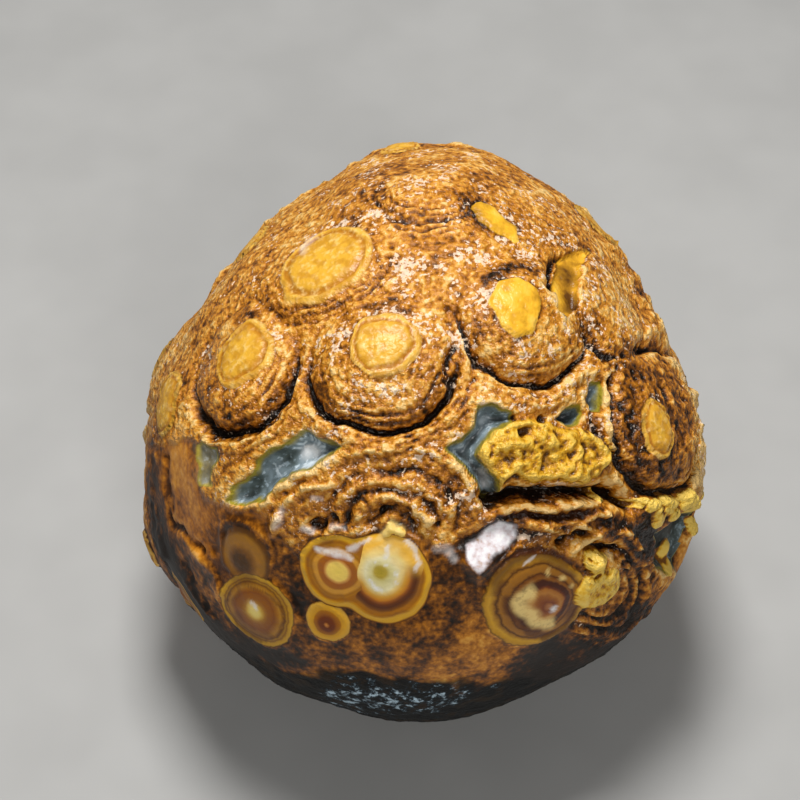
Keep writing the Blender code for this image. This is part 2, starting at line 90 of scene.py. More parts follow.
# Slow noise: the size of its lumps, and how far it moves the forms, the upper edge of the dark base on the
# face, and the rings of the eyes
WARP_SIZE = 2.6
FORM_WARP = 0.38
DARK_WARP = 0.7
RING_WARP = 0.14

# How uneven the edges of the polish and the dark base are away from the face: by the slow noise, and by
# lumps of this size
EDGE_WARP = 1.2
EDGE_SWELL = 2.5
EDGE_SWELL_SIZE = 7.0

# Grains of the crust: size, how far the slow noise shifts them, height, and how much higher at the front
GRAINS = [
    (0.95, 0.15, 0.16, 0.00),
    (0.52, 0.10, 0.06, 0.10),
]

# Fine lumps on what isn't crust, and on the dark base: size and height
SMOOTH_LUMPS = (0.9, 0.03)
DARK_LUMPS = (1.1, 0.10)

# Thin layers of crust round the domes: spacing and height
LAYER_SPACING = 0.52
LAYER_HEIGHT = 0.11

# Rounds of averaging that tell narrow hollows and wide ones
NARROW_ROUNDS = 3
WIDE_ROUNDS = 24

# Painted grains: cells per metre, the same for the noise that shifts them, and its reach in metres; then
# the height of the painted relief in millimetres
GRAIN_CELLS = 2300.0
GRAIN_WANDER_CELLS = 2200.0
GRAIN_WANDER = (0.0005, 0.0005, 0.0005)
BUMP_HEIGHT = 0.16

# Softboxes: direction (right, up, towards) as seen by the camera, distance and size in metres, and power in
# watts; then the strength of the even surround, and how far the floor reaches, in metres
LIGHTS = {
    "key": ((-0.05, 0.76, 0.65), 0.20, 0.06, 0.43),
    "fill": ((0.18, -0.22, 0.96), 0.40, 0.10, 0.50),
}
AMBIENT = 0.12
FLOOR_REACH = 1.2


def side(azimuth, elevation):
    """The face frame's direction from the middle, by degrees round from the front and above the horizon."""
    azimuth, elevation = math.radians(azimuth), math.radians(elevation)
    flat = math.cos(elevation)
    way = np.array([math.sin(azimuth) * flat, -math.cos(azimuth) * flat, math.sin(elevation)])
    return float(way[0]), float(way @ UP), float(way @ TOWARDS)


def point(across, down, reach, turn):
    """The pixel at this reach from another, by degrees up from the right."""
    turn = math.radians(turn)
    return across + reach * math.cos(turn), down - reach * math.sin(turn)


# The outline against the background, clockwise from the top
OUTLINE = [
    (430, 149), (482, 153), (530, 179), (571, 208), (608, 242), (640, 291), (660, 326),
    (674, 358), (686, 396), (694, 440), (697, 485), (694, 530), (680, 565), (655, 598),
    (622, 636), (580, 667), (530, 693), (470, 713), (405, 722), (345, 715), (290, 693),
    (245, 661), (207, 624), (178, 588), (156, 545), (144, 490), (146, 440), (157, 392),
    (180, 348), (213, 292), (262, 234), (320, 188), (375, 157),
]

# Domes of crust: place, radii across and along, height, depth and half width of the groove round the lower
# side
DOMES = {
    "left": ((241, 366), 4.3, 4.7, 0.9, 1.0, 0.40),
    "middle": ((380, 360), 5.2, 4.7, 1.2, 0.9, 0.24),
    "right": ((526, 317), 4.7, 4.7, 1.1, 0.8, 0.28),
    "upper_left": ((322, 262), 5.2, 4.7, 0.4, 0.10, 0.30),
    "shoulder": ((607, 303), 4.6, 4.3, 0.7, 0.5, 0.30),
    "edge": ((655, 420), 6.0, 4.9, 0.7, 0.8, 0.35),
    "crown": ((428, 192), 3.6, 3.4, 0.35, 0.08, 0.30),
}

# Raised yellow discs with a rim: place, radii across and along, turn, height
DISCS = {
    "upper_left": ((325, 264), 3.65, 3.35, 30, 0.40),
    "left": ((251, 357), 2.65, 2.25, 75, 0.38),
    "middle": ((386, 347), 2.30, 2.25, 0, 0.45),
    "edge": ((645, 431), 2.0, 1.5, 100, 0.40),
    "left_rim": ((171, 405), 2.5, 1.8, 70, 0.35),
}

# Flat yellow flakes with corners: outline, height (a negative one is sunk)
FLAKES = {
    "right": ([(486, 305), (500, 284), (519, 280), (537, 286), (538, 315), (530, 336),
               (515, 342), (500, 326)], 0.42),
    "upper_right": ([(469, 211), (481, 206), (496, 210), (507, 222), (519, 230), (519, 243),
                     (512, 245), (495, 236), (476, 222)], 0.35),
    "shoulder": ([(560, 253), (584, 251), (592, 255), (582, 266), (577, 282), (580, 307),
                  (568, 314), (557, 304), (552, 285)], -0.45),
}

# Polished eyes: place, radii across and along, turn, height of the boss
EYES = {
    "twin_large": ((381, 573), 3.60, 3.75, 0, 0.35),
    "twin_small": ((337, 573), 2.65, 2.65, 0, 0.25),
    "below_twins": ((327, 625), 1.70, 1.65, 0, 0.15),
    "lower_left": ((257, 611), 3.35, 3.55, -50, 0.35),
    "lower_right": ((536, 602), 4.50, 3.70, -55, 0.40),
    "faint": ((245, 552), 2.4, 2.6, 0, 0.30),
}

# Sunken grey chalcedony: outline, depth
POOLS = {
    "left": ([(229, 502), (231, 487), (241, 479), (251, 473), (255, 462), (267, 455), (283, 442),
              (290, 435), (305, 428), (326, 438), (340, 448), (322, 461), (313, 468), (292, 472),
              (285, 480), (278, 488), (269, 496), (266, 502), (243, 506)], 1.15),
    "small_left": ([(195, 447), (205, 442), (220, 447), (221, 463), (213, 471), (213, 488),
                    (201, 489), (199, 471), (195, 462)], 0.35),
    "right": ([(441, 447), (460, 438), (472, 424), (474, 408), (492, 404), (514, 411),
               (515, 424), (498, 430), (484, 440), (476, 452), (484, 466), (496, 482),
               (500, 497), (488, 504), (476, 488), (462, 466)], 1.25),
    "hole": ([(553, 420), (562, 412), (578, 405), (585, 414), (580, 428), (570, 430)], 1.7),
    "upper_hole": ([(588, 402), (592, 386), (601, 381), (603, 392), (600, 412), (590, 409)], 1.1),
    "edge": ([(652, 533), (668, 521), (690, 509), (712, 508), (708, 548), (680, 575),
              (655, 572)], 1.5),
}

# The deep crack across the right side: line, half width, depth
CRACK = ([(489, 502), (512, 496), (545, 493), (580, 494), (606, 492), (622, 496), (633, 501)], 0.52, 2.6)

# Low walls and ledges: line, half width, height (a negative one is a groove)
LEDGES = [
    ([(209, 441), (235, 447), (258, 440), (280, 425), (305, 408), (325, 425), (350, 438), (380, 446),
      (410, 441), (437, 428), (460, 412), (484, 400), (510, 405), (540, 404), (568, 392), (590, 373),
      (608, 358)], 0.75, 0.32),
    ([(505, 512), (527, 507), (551, 508), (575, 504), (588, 508)], 0.28, 0.50),
    ([(519, 520), (545, 521), (569, 518), (588, 517), (606, 512)], 0.24, 0.40),
    ([(517, 527), (545, 525), (562, 529), (576, 524), (597, 531), (612, 523), (624, 527), (634, 542)],
     0.30, 0.50),
    ([(507, 518), (551, 515), (575, 513)], 0.20, -0.40),
    ([(560, 541), (572, 535), (581, 534)], 0.55, -0.80),
    ([(588, 552), (600, 545), (616, 550)], 0.50, -0.90),
    ([(576, 546), (588, 541), (596, 534)], 0.30, 0.40),
    ([(610, 376), (614, 400), (616, 430), (617, 465)], 0.22, -0.70),
    ([(604, 376), (606, 410), (608, 450)], 0.35, 0.45),
    ([(640, 347), (655, 345), (664, 352)], 0.55, -0.90),
    ([(612, 245), (632, 285), (650, 320), (660, 340)], 0.60, 0.40),
    ([(690, 395), (694, 430), (693, 470), (690, 500)], 0.65, 0.40),
    ([(556, 256), (549, 270), (550, 287)], 0.30, -0.70),
    ([(163, 455), (167, 485), (170, 508), (174, 527), (182, 533), (192, 542), (204, 554)], 0.20, -0.35),
    ([(216, 553), (222, 536), (233, 527)], 0.18, -0.15),
    ([(181, 536), (197, 556), (212, 575), (221, 592)], 0.32, 0.22),
    ([(188, 583), (200, 602), (213, 622)], 0.22, 0.18),
    ([(183, 560), (196, 582), (206, 604)], 0.30, -0.18),
    ([(152, 452), (151, 490), (157, 525), (166, 555)], 0.30, 0.25),
    ([(470, 392), (480, 380), (474, 360)], 0.25, -0.35),
    ([(449, 310), (451, 345), (450, 385)], 0.30, -0.50),
    ([(262, 508), (275, 490), (296, 476), (322, 468), (341, 456), (367, 449), (398, 447), (430, 453),
      (455, 470), (470, 492)], 0.38, 0.35),
    ([(273, 532), (281, 508), (300, 492), (328, 484)], 0.30, 0.35),
    ([(449, 512), (461, 498), (474, 508), (489, 500)], 0.35, 0.40),
]

# Arcs of ridges and grooves: middle, sideways stretch, bearing and half spread in degrees, then the radius,
# half width and height of each
ARCS = [
    ((391, 528), 1.12, 90, 95,
     [(1.35, 0.36, -0.40), (2.30, 0.42, 0.28), (3.05, 0.22, -0.22), (3.75, 0.36, 0.26),
      (4.55, 0.22, -0.24)]),
    ((427, 510), 1.0, 60, 150, [(0.85, 0.18, 0.16), (1.25, 0.16, -0.12)]),
    ((597, 587), 1.0, -35, 85,
     [(1.90, 0.20, 0.14), (2.30, 0.15, -0.16), (2.70, 0.20, 0.18), (3.15, 0.16, -0.20),
      (3.70, 0.26, 0.20)]),
]

# The lumpy yellow patch over the crack: outline, height
LUMPS = ([(474, 446), (487, 436), (497, 426), (520, 420), (548, 424), (560, 430), (584, 432),
          (604, 440), (606, 460), (597, 478), (582, 484), (560, 478), (535, 482), (512, 478),
          (498, 488), (487, 470)], 0.55)

# Yellow knobs: place, radii across and along, turn, height
KNOBS = [
    ((594, 559), 1.15, 0.90, -40, 0.75), ((596, 588), 2.15, 1.75, -40, 0.65),
    ((676, 561), 1.30, 0.85, 20, 0.70), ((700, 526), 0.95, 0.50, 80, 0.50),
    ((679, 500), 1.20, 0.85, -15, 0.65), ((664, 502), 1.15, 0.80, -10, 0.50),
    ((650, 506), 0.85, 0.60, 0, 0.40), ((655, 516), 0.95, 0.60, -10, 0.45),
    ((640, 500), 0.75, 0.45, -10, 0.35), ((670, 513), 0.70, 0.50, -10, 0.40),
    ((688, 508), 0.60, 0.50, 0, 0.40), ((603, 494), 0.50, 0.50, 0, 1.20),
    ((697, 497), 0.30, 0.30, 0, 0.40), ((384, 531), 0.35, 0.35, 0, 0.22),
    ((391, 526), 0.40, 0.40, 0, 0.28), ((399, 530), 0.35, 0.35, 0, 0.22),
]

# Small round pits: place, radius, depth
PITS = [
    ((315, 522), 0.55, 0.7), ((331, 519), 0.45, 0.5), ((515, 418), 0.35, 0.6), ((524, 433), 0.40, 0.7),
    ((545, 421), 0.35, 0.5), ((427, 510), 0.45, 0.2), ((655, 394), 0.50, 0.6), ((662, 432), 0.25, 0.4),
    ((595, 571), 0.28, 0.5), ((672, 556), 0.30, 0.5), ((597, 590), 0.85, 0.3),
]

# The pale glossy facet, which leans back: outline, middle, slope. Its near-white colour is partly milky
# stone, partly a painted highlight
FACET = ([(466, 545), (499, 527), (517, 528), (515, 541), (497, 553), (478, 570), (469, 559)],
         (494, 548), 0.45)

# The sides and back, which the photograph doesn't show. Domes there: place, radius, height, and radius of
# the disc on each
BACK_DOMES = [
    (side(180, 20), 6.2, 1.0, 2.8),
    (side(143, 11), 5.2, 0.9, 2.3),
    (side(219, 13), 5.4, 0.9, 2.4),
    (side(107, -1), 4.6, 0.7, 2.0),
    (side(252, 5), 4.9, 0.8, 2.1),
    (side(162, -17), 4.4, 0.7, 1.9),
    (side(201, -15), 4.7, 0.7, 2.0),
    (side(286, -16), 4.0, 0.6, 1.7),
    (side(88, -32), 4.0, 0.6, 1.7),
]

# Below those domes: the groove's half width, and the ledge's height, distance and half width
BACK_GROOVE_HALF_WIDTH = 0.35
BACK_LEDGE = 0.34
BACK_LEDGE_OUT = 1.0
BACK_LEDGE_HALF_WIDTH = 0.5

# Also there: the height of every disc, discs without a dome (place, radius), hollows (place, radius,
# depth), and ledges and grooves as on the face
BACK_DISC_HEIGHT = 0.35
BACK_DISCS = [(side(128, 37), 2.3), (side(236, 39), 2.0), (side(186, 44), 1.7)]
BACK_POOLS = [
    (side(161, 3), 2.6, 0.9),
    (side(199, 4), 3.0, 1.0),
    (side(125, -12), 2.6, 0.9),
    (side(235, -8), 2.4, 0.8),
    (side(268, -14), 2.4, 0.8),
    (side(79, -9), 2.2, 0.8),
]
BACK_LEDGES = [
    ([side(96, 20), side(110, 24), side(124, 20), side(134, 28), side(150, 32)], 0.45, 0.35),
    ([side(98, 17), side(112, 20), side(125, 16)], 0.25, -0.55),
    ([side(205, 33), side(222, 34), side(238, 27), side(254, 28), side(268, 20)], 0.45, 0.35),
    ([side(222, 30), side(239, 23), side(255, 24)], 0.25, -0.50),
    ([side(92, -12), side(110, -24), side(126, -22), side(141, -12), side(150, -22), side(168, -35)],
     0.50, 0.35),
    ([side(182, -8), side(184, -22), side(196, -34), side(214, -32), side(226, -20), side(246, -20),
      side(262, -26), side(278, -34)], 0.50, 0.35),
    ([side(166, 44), side(176, 38), side(190, 37), side(200, 42)], 0.30, 0.25),
]

# The wind-polished lower face: its upper edge from left to right, closed below the stone, and its height
# at the sides and back
POLISHED_EDGE = [
    (100, 430), (160, 446), (196, 441), (198, 468), (206, 500), (236, 508), (264, 510), (284, 545),
    (303, 562), (312, 538), (350, 536), (380, 524), (402, 520), (424, 536), (440, 552), (462, 540),
    (497, 524), (518, 526), (518, 546), (500, 562), (520, 552), (552, 550), (580, 560), (586, 600),
    (574, 640), (600, 650), (660, 600), (760, 620), (700, 860), (150, 860), (60, 700),
]
POLISHED_HEIGHT = 14.0

# The dark chalcedony that the stone is bedded in, which on the face is partly painted shade where it turns
# under: its upper edge on the face, its height elsewhere, how much higher it reaches below the face, and
# how far in front of the middle that starts and is complete
DARK_EDGE = [
    (100, 650), (180, 628), (212, 640), (245, 659), (290, 670), (340, 671), (400, 675), (460, 683),
    (505, 680), (545, 674), (585, 662), (625, 642), (665, 612), (760, 600), (820, 700), (700, 900),
    (100, 900),
]
DARK_HEIGHT = 6.0
DARK_RISE = 7.0
DARK_RISE_FROM = (3.0, 12.0)

# Where pale grains are thickest on the crust, as a direction in the face frame: facing halfway between the
# viewer and the key light, they are partly painted glints
GLINT_WAY = (0.05, 0.45, 0.89)

# Where the grain is coarser: line, half width, how much more it stands out
COARSE = [
    ([(630, 385), (655, 400), (665, 440)], 3.2, 1.4),
    ([(505, 515), (560, 515), (615, 525)], 1.8, 0.6),
    ([(620, 560), (640, 580)], 2.0, 0.8),
]

# Darker and lighter places: line, half width, change of tone; painted shade and painted light are marked
SHADES = [
    ([(335, 505), (360, 482), (395, 475), (430, 484), (452, 512)], 2.0, -0.06),
    ([(344, 515), (365, 508), (392, 512)], 0.9, -0.26),
    ([(212, 442), (240, 447), (280, 426), (306, 408), (340, 436), (381, 446), (420, 438), (460, 412)],
     0.9, -0.13),
    # Painted shade: the lower sides of the left and middle domes are darker
    ([(205, 392), (228, 420), (262, 420), (287, 392)], 1.3, -0.18),
    ([(318, 394), (345, 418), (385, 425), (420, 414), (442, 380)], 1.0, -0.24),
    ([(203, 334), (230, 302), (262, 262)], 1.3, 0.07),
    # Painted light: the lower side of the right dome is lighter, against its shade
    ([(490, 352), (522, 366), (556, 354)], 1.3, 0.12),
    ([(484, 287), (492, 275), (507, 268), (522, 267), (536, 273)], 0.45, -0.45),
    ([(236, 316), (247, 312), (258, 316)], 0.4, -0.30),
    ([(350, 316), (365, 307), (390, 305), (415, 311)], 0.4, -0.25),
    ([(632, 380), (650, 372), (668, 392), (680, 430), (668, 465), (645, 470), (628, 440), (628, 400)],
     1.1, -0.34),
    ([(625, 520), (640, 545), (642, 580), (628, 610), (604, 634)], 1.7, -0.30),
    ([(500, 512), (540, 510), (580, 512), (616, 520)], 1.3, -0.42),
    ([(598, 285), (622, 312)], 1.5, 0.08),
    ([(520, 528), (560, 530), (600, 532)], 0.8, -0.12),
    ([(655, 300), (672, 345), (688, 390), (698, 430), (700, 480)], 0.7, 0.30),
    ([(566, 262), (572, 285), (570, 303)], 0.8, -0.22),
    ([(551, 260), (547, 272), (551, 285)], 0.35, -0.5),
    ([(335, 693), (385, 701), (440, 698)], 1.3, 0.46),
    ([(455, 694), (490, 690), (520, 684)], 0.6, 0.22),
    ([(470, 545), (440, 550), (425, 540)], 0.8, -0.10),
    ([(178, 455), (186, 480), (192, 512), (201, 538)], 1.25, 0.22),
    ([(205, 505), (240, 509), (270, 516)], 0.8, 0.18),
    ([(150, 480), (153, 520), (164, 556)], 0.7, -0.10),
    # Painted shade: the lower left of the face is darker
    ([(158, 560), (174, 584), (194, 611), (222, 645)], 1.6, -0.42),
    ([(430, 600), (446, 622), (470, 628)], 1.7, 0.10),
    ([(240, 660), (290, 652), (330, 657)], 1.2, -0.16),
    ([(301, 453), (308, 452)], 0.75, 0.50),
    ([(205, 452), (207, 478)], 0.6, -0.18),
    ([(452, 447), (462, 444)], 0.5, 0.25),
    ([(488, 418), (494, 417)], 0.4, 0.4),
    ([(655, 535), (680, 525), (704, 520)], 2.0, -0.45),
    ([(150, 470), (152, 510), (160, 550)], 0.8, -0.12),
    # Painted shade: the lower right of the face is darker
    ([(520, 684), (560, 664), (600, 640), (636, 610)], 1.5, -0.42),
    ([(455, 640), (480, 610), (500, 645)], 1.0, 0.10),
]

# A star of fine pale rays in the left hollow: its middle, and the reach of the rays from and to, in pixels
STAR = (304, 452)
STAR_REACH = (13, 18)
SHADES += [
    ([point(*STAR, reach, turn) for reach in STAR_REACH], 0.11, 0.60) for turn in range(-95, 175, 20)
]

# White, cream, dark brown and amber strokes: line, half width, strength. Nearly all the white strokes are
# painted highlights and glints on the eyes, discs, facet, pits and ridges; the two on the left hollow's
# star paint its pale crystal
WHITE_AND_HIGHLIGHTS = [
    ([(306, 250), (316, 240)], 0.40, 0.35),
    ([(320, 547), (334, 550), (350, 556)], 0.22, 0.70),
    ([(404, 540), (414, 549), (420, 562), (414, 569)], 0.22, 0.65),
    ([(367, 579), (375, 587), (384, 589)], 0.13, 0.80),
    ([(394, 575), (396, 577)], 0.14, 0.80),
    ([(397, 583), (398, 584)], 0.10, 0.65),
    ([(387, 565), (388, 566)], 0.10, 0.70),
    ([(378, 562), (379, 562)], 0.10, 0.60),
    ([(386, 546), (388, 556)], 0.20, 0.60),
    ([(283, 507), (278, 525)], 0.22, 0.45),
    ([(314, 500), (323, 499)], 0.16, 0.45),
    ([(549, 606), (552, 606)], 0.30, 0.90),
    ([(523, 567), (532, 559)], 0.10, 0.60),
    ([(439, 549), (447, 546), (454, 560)], 0.30, 0.45),
    ([(300, 453), (307, 451)], 0.58, 0.60),
    ([(297, 448), (306, 447)], 0.18, 0.85),
    ([(350, 549), (359, 543), (368, 535)], 0.15, 0.60),
    ([(254, 601), (258, 604)], 0.14, 0.70),
    ([(302, 528), (311, 531)], 0.28, 0.70),
    ([(330, 524), (345, 527)], 0.20, 0.55),
    ([(483, 472), (487, 486)], 0.30, 0.50),
]
# Cream strokes: the first two are painted highlights on the large twin; the rest are the stone's own cream
CREAM_AND_HIGHLIGHTS = [
    ([(376, 552), (384, 545), (393, 552)], 0.45, 0.60),
    ([(395, 561), (401, 572), (397, 583)], 0.22, 0.60),
    ([(529, 590), (517, 596), (517, 604), (527, 609), (535, 618), (547, 621)], 0.52, 0.90),
    ([(205, 450), (208, 480)], 0.80, 0.22),
    ([(547, 571), (547, 572)], 0.20, 0.75),
    ([(562, 575), (563, 575)], 0.20, 0.75),
    ([(568, 585), (568, 586)], 0.20, 0.60),
    ([(253, 603), (258, 609)], 0.30, 0.45),
    ([(377, 534), (385, 528), (392, 523), (401, 529)], 0.26, 0.75),
]
UMBER = [
    ([(506, 596), (506, 609), (519, 615), (529, 629), (547, 636), (568, 627), (574, 606)], 0.40, 0.75),
    ([(231, 592), (229, 608), (241, 632), (262, 643), (282, 632), (284, 610), (268, 590), (247, 583)],
     0.09, 0.55),
    ([(240, 614), (245, 627), (257, 636), (269, 634)], 0.42, 0.50),
    ([(494, 583), (503, 571), (516, 560), (533, 554), (552, 554), (567, 560)], 0.52, 0.70),
    ([(494, 589), (500, 576), (510, 566), (533, 558), (556, 561), (571, 570)], 0.42, 0.60),
    ([(224, 566), (234, 575), (250, 576)], 0.60, 0.45),
    ([(236, 583), (241, 590), (236, 600)], 0.16, 0.40),
    ([(508, 512), (545, 509), (592, 513)], 0.75, 0.35),
]
AMBER = [
    ([(176, 452), (186, 485), (195, 515), (206, 542)], 1.9, 0.70),
    ([(203, 505), (240, 511), (268, 520)], 0.8, 0.45),
]

# Colours are as seen (sRGB, 0 to 255). Rings of the polished eyes and raised discs run from the middle (0)
# to the rim (1); those that go round both twins run inwards from the rim, in millimetres
RINGS = {
    "twin_large": [
        (0.00, (176, 150, 36)), (0.12, (190, 162, 54)), (0.19, (222, 208, 136)), (0.36, (242, 230, 178)),
        (0.41, (240, 208, 130)), (0.48, (224, 164, 56)), (0.54, (206, 132, 34)), (0.58, (150, 82, 26)),
        (0.62, (108, 54, 16)), (0.67, (92, 44, 10)), (0.72, (120, 68, 18)), (0.77, (150, 94, 22)),
    ],
    # The large twin's upper part, lighter: partly its own pale bands, partly painted light on its top
    "twin_top_lit": [
        (0.00, (176, 150, 40)), (0.12, (196, 170, 70)), (0.19, (228, 214, 146)), (0.36, (246, 234, 184)),
        (0.49, (250, 222, 140)), (0.60, (250, 200, 96)), (0.72, (248, 188, 66)), (0.84, (248, 194, 88)),
        (0.94, (226, 166, 50)),
    ],
    "twin_small": [
        (0.00, (246, 212, 96)), (0.25, (244, 206, 100)), (0.30, (214, 154, 76)), (0.36, (168, 94, 28)),
        (0.48, (170, 100, 24)), (0.53, (214, 150, 50)), (0.60, (212, 148, 50)), (0.66, (166, 106, 18)),
        (0.72, (172, 112, 22)),
    ],
    "twins": [
        (0.00, (96, 56, 10)), (0.05, (170, 110, 20)), (0.12, (224, 168, 44)), (0.30, (230, 172, 40)),
        (0.42, (218, 160, 30)), (0.50, (190, 128, 22)), (0.62, (158, 98, 16)), (0.74, (160, 100, 22)),
        (1.00, (164, 102, 26)),
    ],
    "dark_middle": [
        (0.00, (224, 150, 64)), (0.08, (180, 110, 46)), (0.15, (104, 46, 12)), (0.34, (112, 52, 16)),
        (0.46, (150, 86, 14)), (0.58, (164, 102, 16)), (0.64, (206, 146, 28)), (0.82, (222, 164, 40)),
        (0.94, (214, 162, 60)), (1.00, (110, 66, 14)),
    ],
    "gold": [
        (0.00, (250, 230, 124)), (0.10, (242, 218, 108)), (0.19, (220, 176, 70)), (0.27, (174, 118, 34)),
        (0.36, (152, 90, 20)), (0.46, (146, 84, 16)), (0.52, (136, 74, 12)), (0.60, (158, 98, 20)),
        (0.68, (180, 124, 30)), (0.74, (160, 106, 18)), (0.78, (118, 72, 10)), (0.82, (172, 122, 24)),
        (0.86, (142, 92, 14)), (0.90, (198, 146, 30)), (0.96, (208, 156, 36)), (1.00, (90, 58, 12)),
    ],
    "banded": [
        (0.00, (186, 124, 84)), (0.06, (166, 104, 56)), (0.11, (124, 58, 22)), (0.16, (140, 74, 28)),
        (0.22, (160, 94, 30)), (0.28, (186, 122, 48)), (0.35, (172, 106, 34)), (0.39, (112, 50, 12)),
        (0.43, (74, 28, 6)), (0.51, (70, 28, 6)), (0.55, (140, 84, 22)), (0.59, (124, 70, 14)),
        (0.62, (84, 42, 6)), (0.66, (150, 96, 26)), (0.75, (164, 108, 30)), (0.79, (86, 48, 8)),
        (0.83, (164, 112, 28)), (0.89, (212, 158, 40)), (0.96, (190, 136, 30)), (1.00, (66, 40, 8)),
    ],
    "faint": [
        (0.00, (80, 50, 14)), (0.30, (92, 58, 14)), (0.44, (136, 86, 24)), (0.62, (184, 126, 42)),
        (0.80, (176, 120, 36)), (0.90, (110, 68, 18)), (1.00, (84, 50, 12)),
    ],
    "disc": [
        (0.00, (226, 172, 52)), (0.45, (224, 168, 50)), (0.68, (216, 160, 48)), (0.75, (180, 116, 26)),
        (0.81, (170, 106, 22)), (0.86, (226, 172, 58)), (0.94, (228, 174, 70)), (0.98, (204, 148, 54)),
        (1.00, (150, 96, 34)),
    ],
}

# Colours that follow another value. The ochre of the crust and polish runs from the darkest hollows (0)
# to the lightest tops (1)
RAMPS = {
    "ochre": [
        (0.00, (24, 12, 3)), (0.13, (54, 28, 5)), (0.26, (92, 50, 8)), (0.40, (136, 80, 14)),
        (0.54, (176, 108, 24)), (0.68, (204, 134, 40)), (0.82, (224, 162, 66)), (1.00, (240, 198, 124)),
    ],
    "amber": [(0.20, (104, 56, 4)), (0.50, (172, 100, 6)), (0.85, (214, 136, 20))],
    "flake": [(0.10, (90, 54, 10)), (0.30, (176, 124, 26)), (0.50, (238, 178, 44)), (0.75, (246, 204, 96))],
    "lumps": [(0.20, (92, 56, 10)), (0.38, (186, 128, 22)), (0.56, (224, 168, 40)), (0.74, (240, 194, 78))],
    # The facet's milky white, partly a painted highlight
    "milk_and_highlight": [
        (0.36, (196, 160, 132)), (0.44, (224, 208, 208)), (0.52, (240, 234, 236)), (0.62, (255, 253, 250)),
    ],
    "grey": [
        (0.00, (20, 27, 25)), (0.20, (50, 58, 54)), (0.42, (92, 104, 104)), (0.70, (138, 154, 162)),
        (1.00, (206, 218, 224)),
    ],
    "slate": [(0.00, (5, 5, 4)), (0.38, (12, 13, 13)), (0.52, (46, 62, 72)), (0.72, (186, 210, 224))],
    "knob": [(0.25, (120, 72, 10)), (0.40, (206, 146, 28)), (0.50, (232, 180, 48)), (0.65, (246, 206, 92))],
    "floor": [(0.35, (174, 173, 170)), (0.65, (179, 178, 175))],
}

# Plain colours; the speck, the cream and the white also paint glints and highlights
TINTS = {
    "speck_and_glint": (250, 224, 196),
    "disc_light": (244, 208, 132),
    "disc_dark": (190, 128, 26),
    "fringe": (158, 142, 40),
    "rust": (50, 34, 14),
    "umber": (78, 34, 6),
    "cream_and_highlight": (252, 218, 136),
    "white_and_highlight": (248, 245, 242),
    "groove_dark": (34, 17, 4),
}

# Where each palette's rings lie: places of the innermost ring and of the rim, radii across and along, turn
TWIN_LARGE = ((380, 572), (383, 581), 3.36, 3.60, 0)
TWIN_SMALL = ((336, 572), (337, 574), 2.85, 2.85, 0)
RINGED = {
    "twin_large": [TWIN_LARGE],
    "twin_small": [TWIN_SMALL],
    "dark_middle": [
        ((325, 625), (327, 623), 1.70, 1.65, 0),
        (side(92, -9), side(92, -9), 1.7, 1.6, 30),
        (side(146, -22), side(146, -22), 1.8, 1.7, 0),
    ],
    "gold": [
        ((257, 609), (257, 611), 2.95, 3.35, -30),
        (side(304, -12), side(304, -12), 2.5, 2.2, 20),
        (side(127, -30), side(127, -29), 2.5, 2.2, 0),
        (side(217, -24), side(216, -25), 2.3, 2.1, 0),
    ],
    "banded": [
        ((547, 603), (536, 602), 4.40, 3.60, -55),
        (side(240, -22), side(242, -23), 2.9, 2.6, 0),
        (side(183, -30), side(182, -31), 2.6, 2.4, 0),
    ],
    "faint": [((240, 564), (245, 557), 2.1, 2.3, 0)],
}

# The rings that go round both twins: the radii they follow, and how softly they meet between the twins
TWIN_RADII = {"twin_large": 3.45, "twin_small": 2.85}
TWIN_SOFTNESS = 0.18

# How far the large twin's own rings reach, as a share of its radius: by themselves, how much further at the
# top, and how much less where the small twin lies against it, which is between these pixels
TWIN_REACH = (0.77, 0.17, 0.23)
CONTACT_ACROSS = (368, 358)
CONTACT_DOWN = (598, 588)


def smooth(low, high, value):
    """0 below low, 1 above high, and a smooth step between them."""
    share = np.clip((value - low) / (high - low), 0.0, 1.0)
    return share * share * (3.0 - 2.0 * share)


def cell_slope(cell):
    """The slope that belongs to each cell."""
    x, y, z = cell.T % CELLS
    return SLOPES[ORDER[(ORDER[(ORDER[x] + y) % CELLS] + z) % CELLS]]


def cell_noise(points):
    """Gradient noise from -1 to 1 with cells of size 1."""
    cell = np.floor(points).astype(int)
    within = points - cell
    fade = within**3 * (within * (within * 6.0 - 15.0) + 10.0)
    total = np.zeros(len(points))
    for corner in itertools.product((0, 1), repeat=3):
        weight = np.prod(np.where(corner, fade, 1.0 - fade), axis=1)
        total += weight * np.sum(cell_slope(cell + corner) * (within - corner), axis=1)
    return 1.5 * total


def lumpy(points, size, octaves, place=0.0):
    """Layers of noise about zero, with lumps of this size in millimetres and finer ones on them.

    Each place gives other noise of the same kind.
    """
    total = np.zeros(len(points))
    for octave in range(octaves):
        total += 0.5**octave * cell_noise(points * (2.0**octave / size) + place + 31.7 * octave)
    return total


def grains(points, size):
    """Rounded grains packed side by side: 1 at the top of a grain, falling to about 0 between grains."""
    sharpness = 8.0
    scaled = points / size
    cell = np.floor(scaled).astype(int)
    total = np.zeros(len(points))
    for step in itertools.product((-1, 0, 1), repeat=3):
        shift = 0.5 + 0.45 * cell_slope(cell + step)
        gap = cell + step + shift - scaled
        total += np.exp(-sharpness * np.sum(gap * gap, axis=1))
    return np.clip(1.0 + np.log(total) / sharpness, 0.0, 1.0)


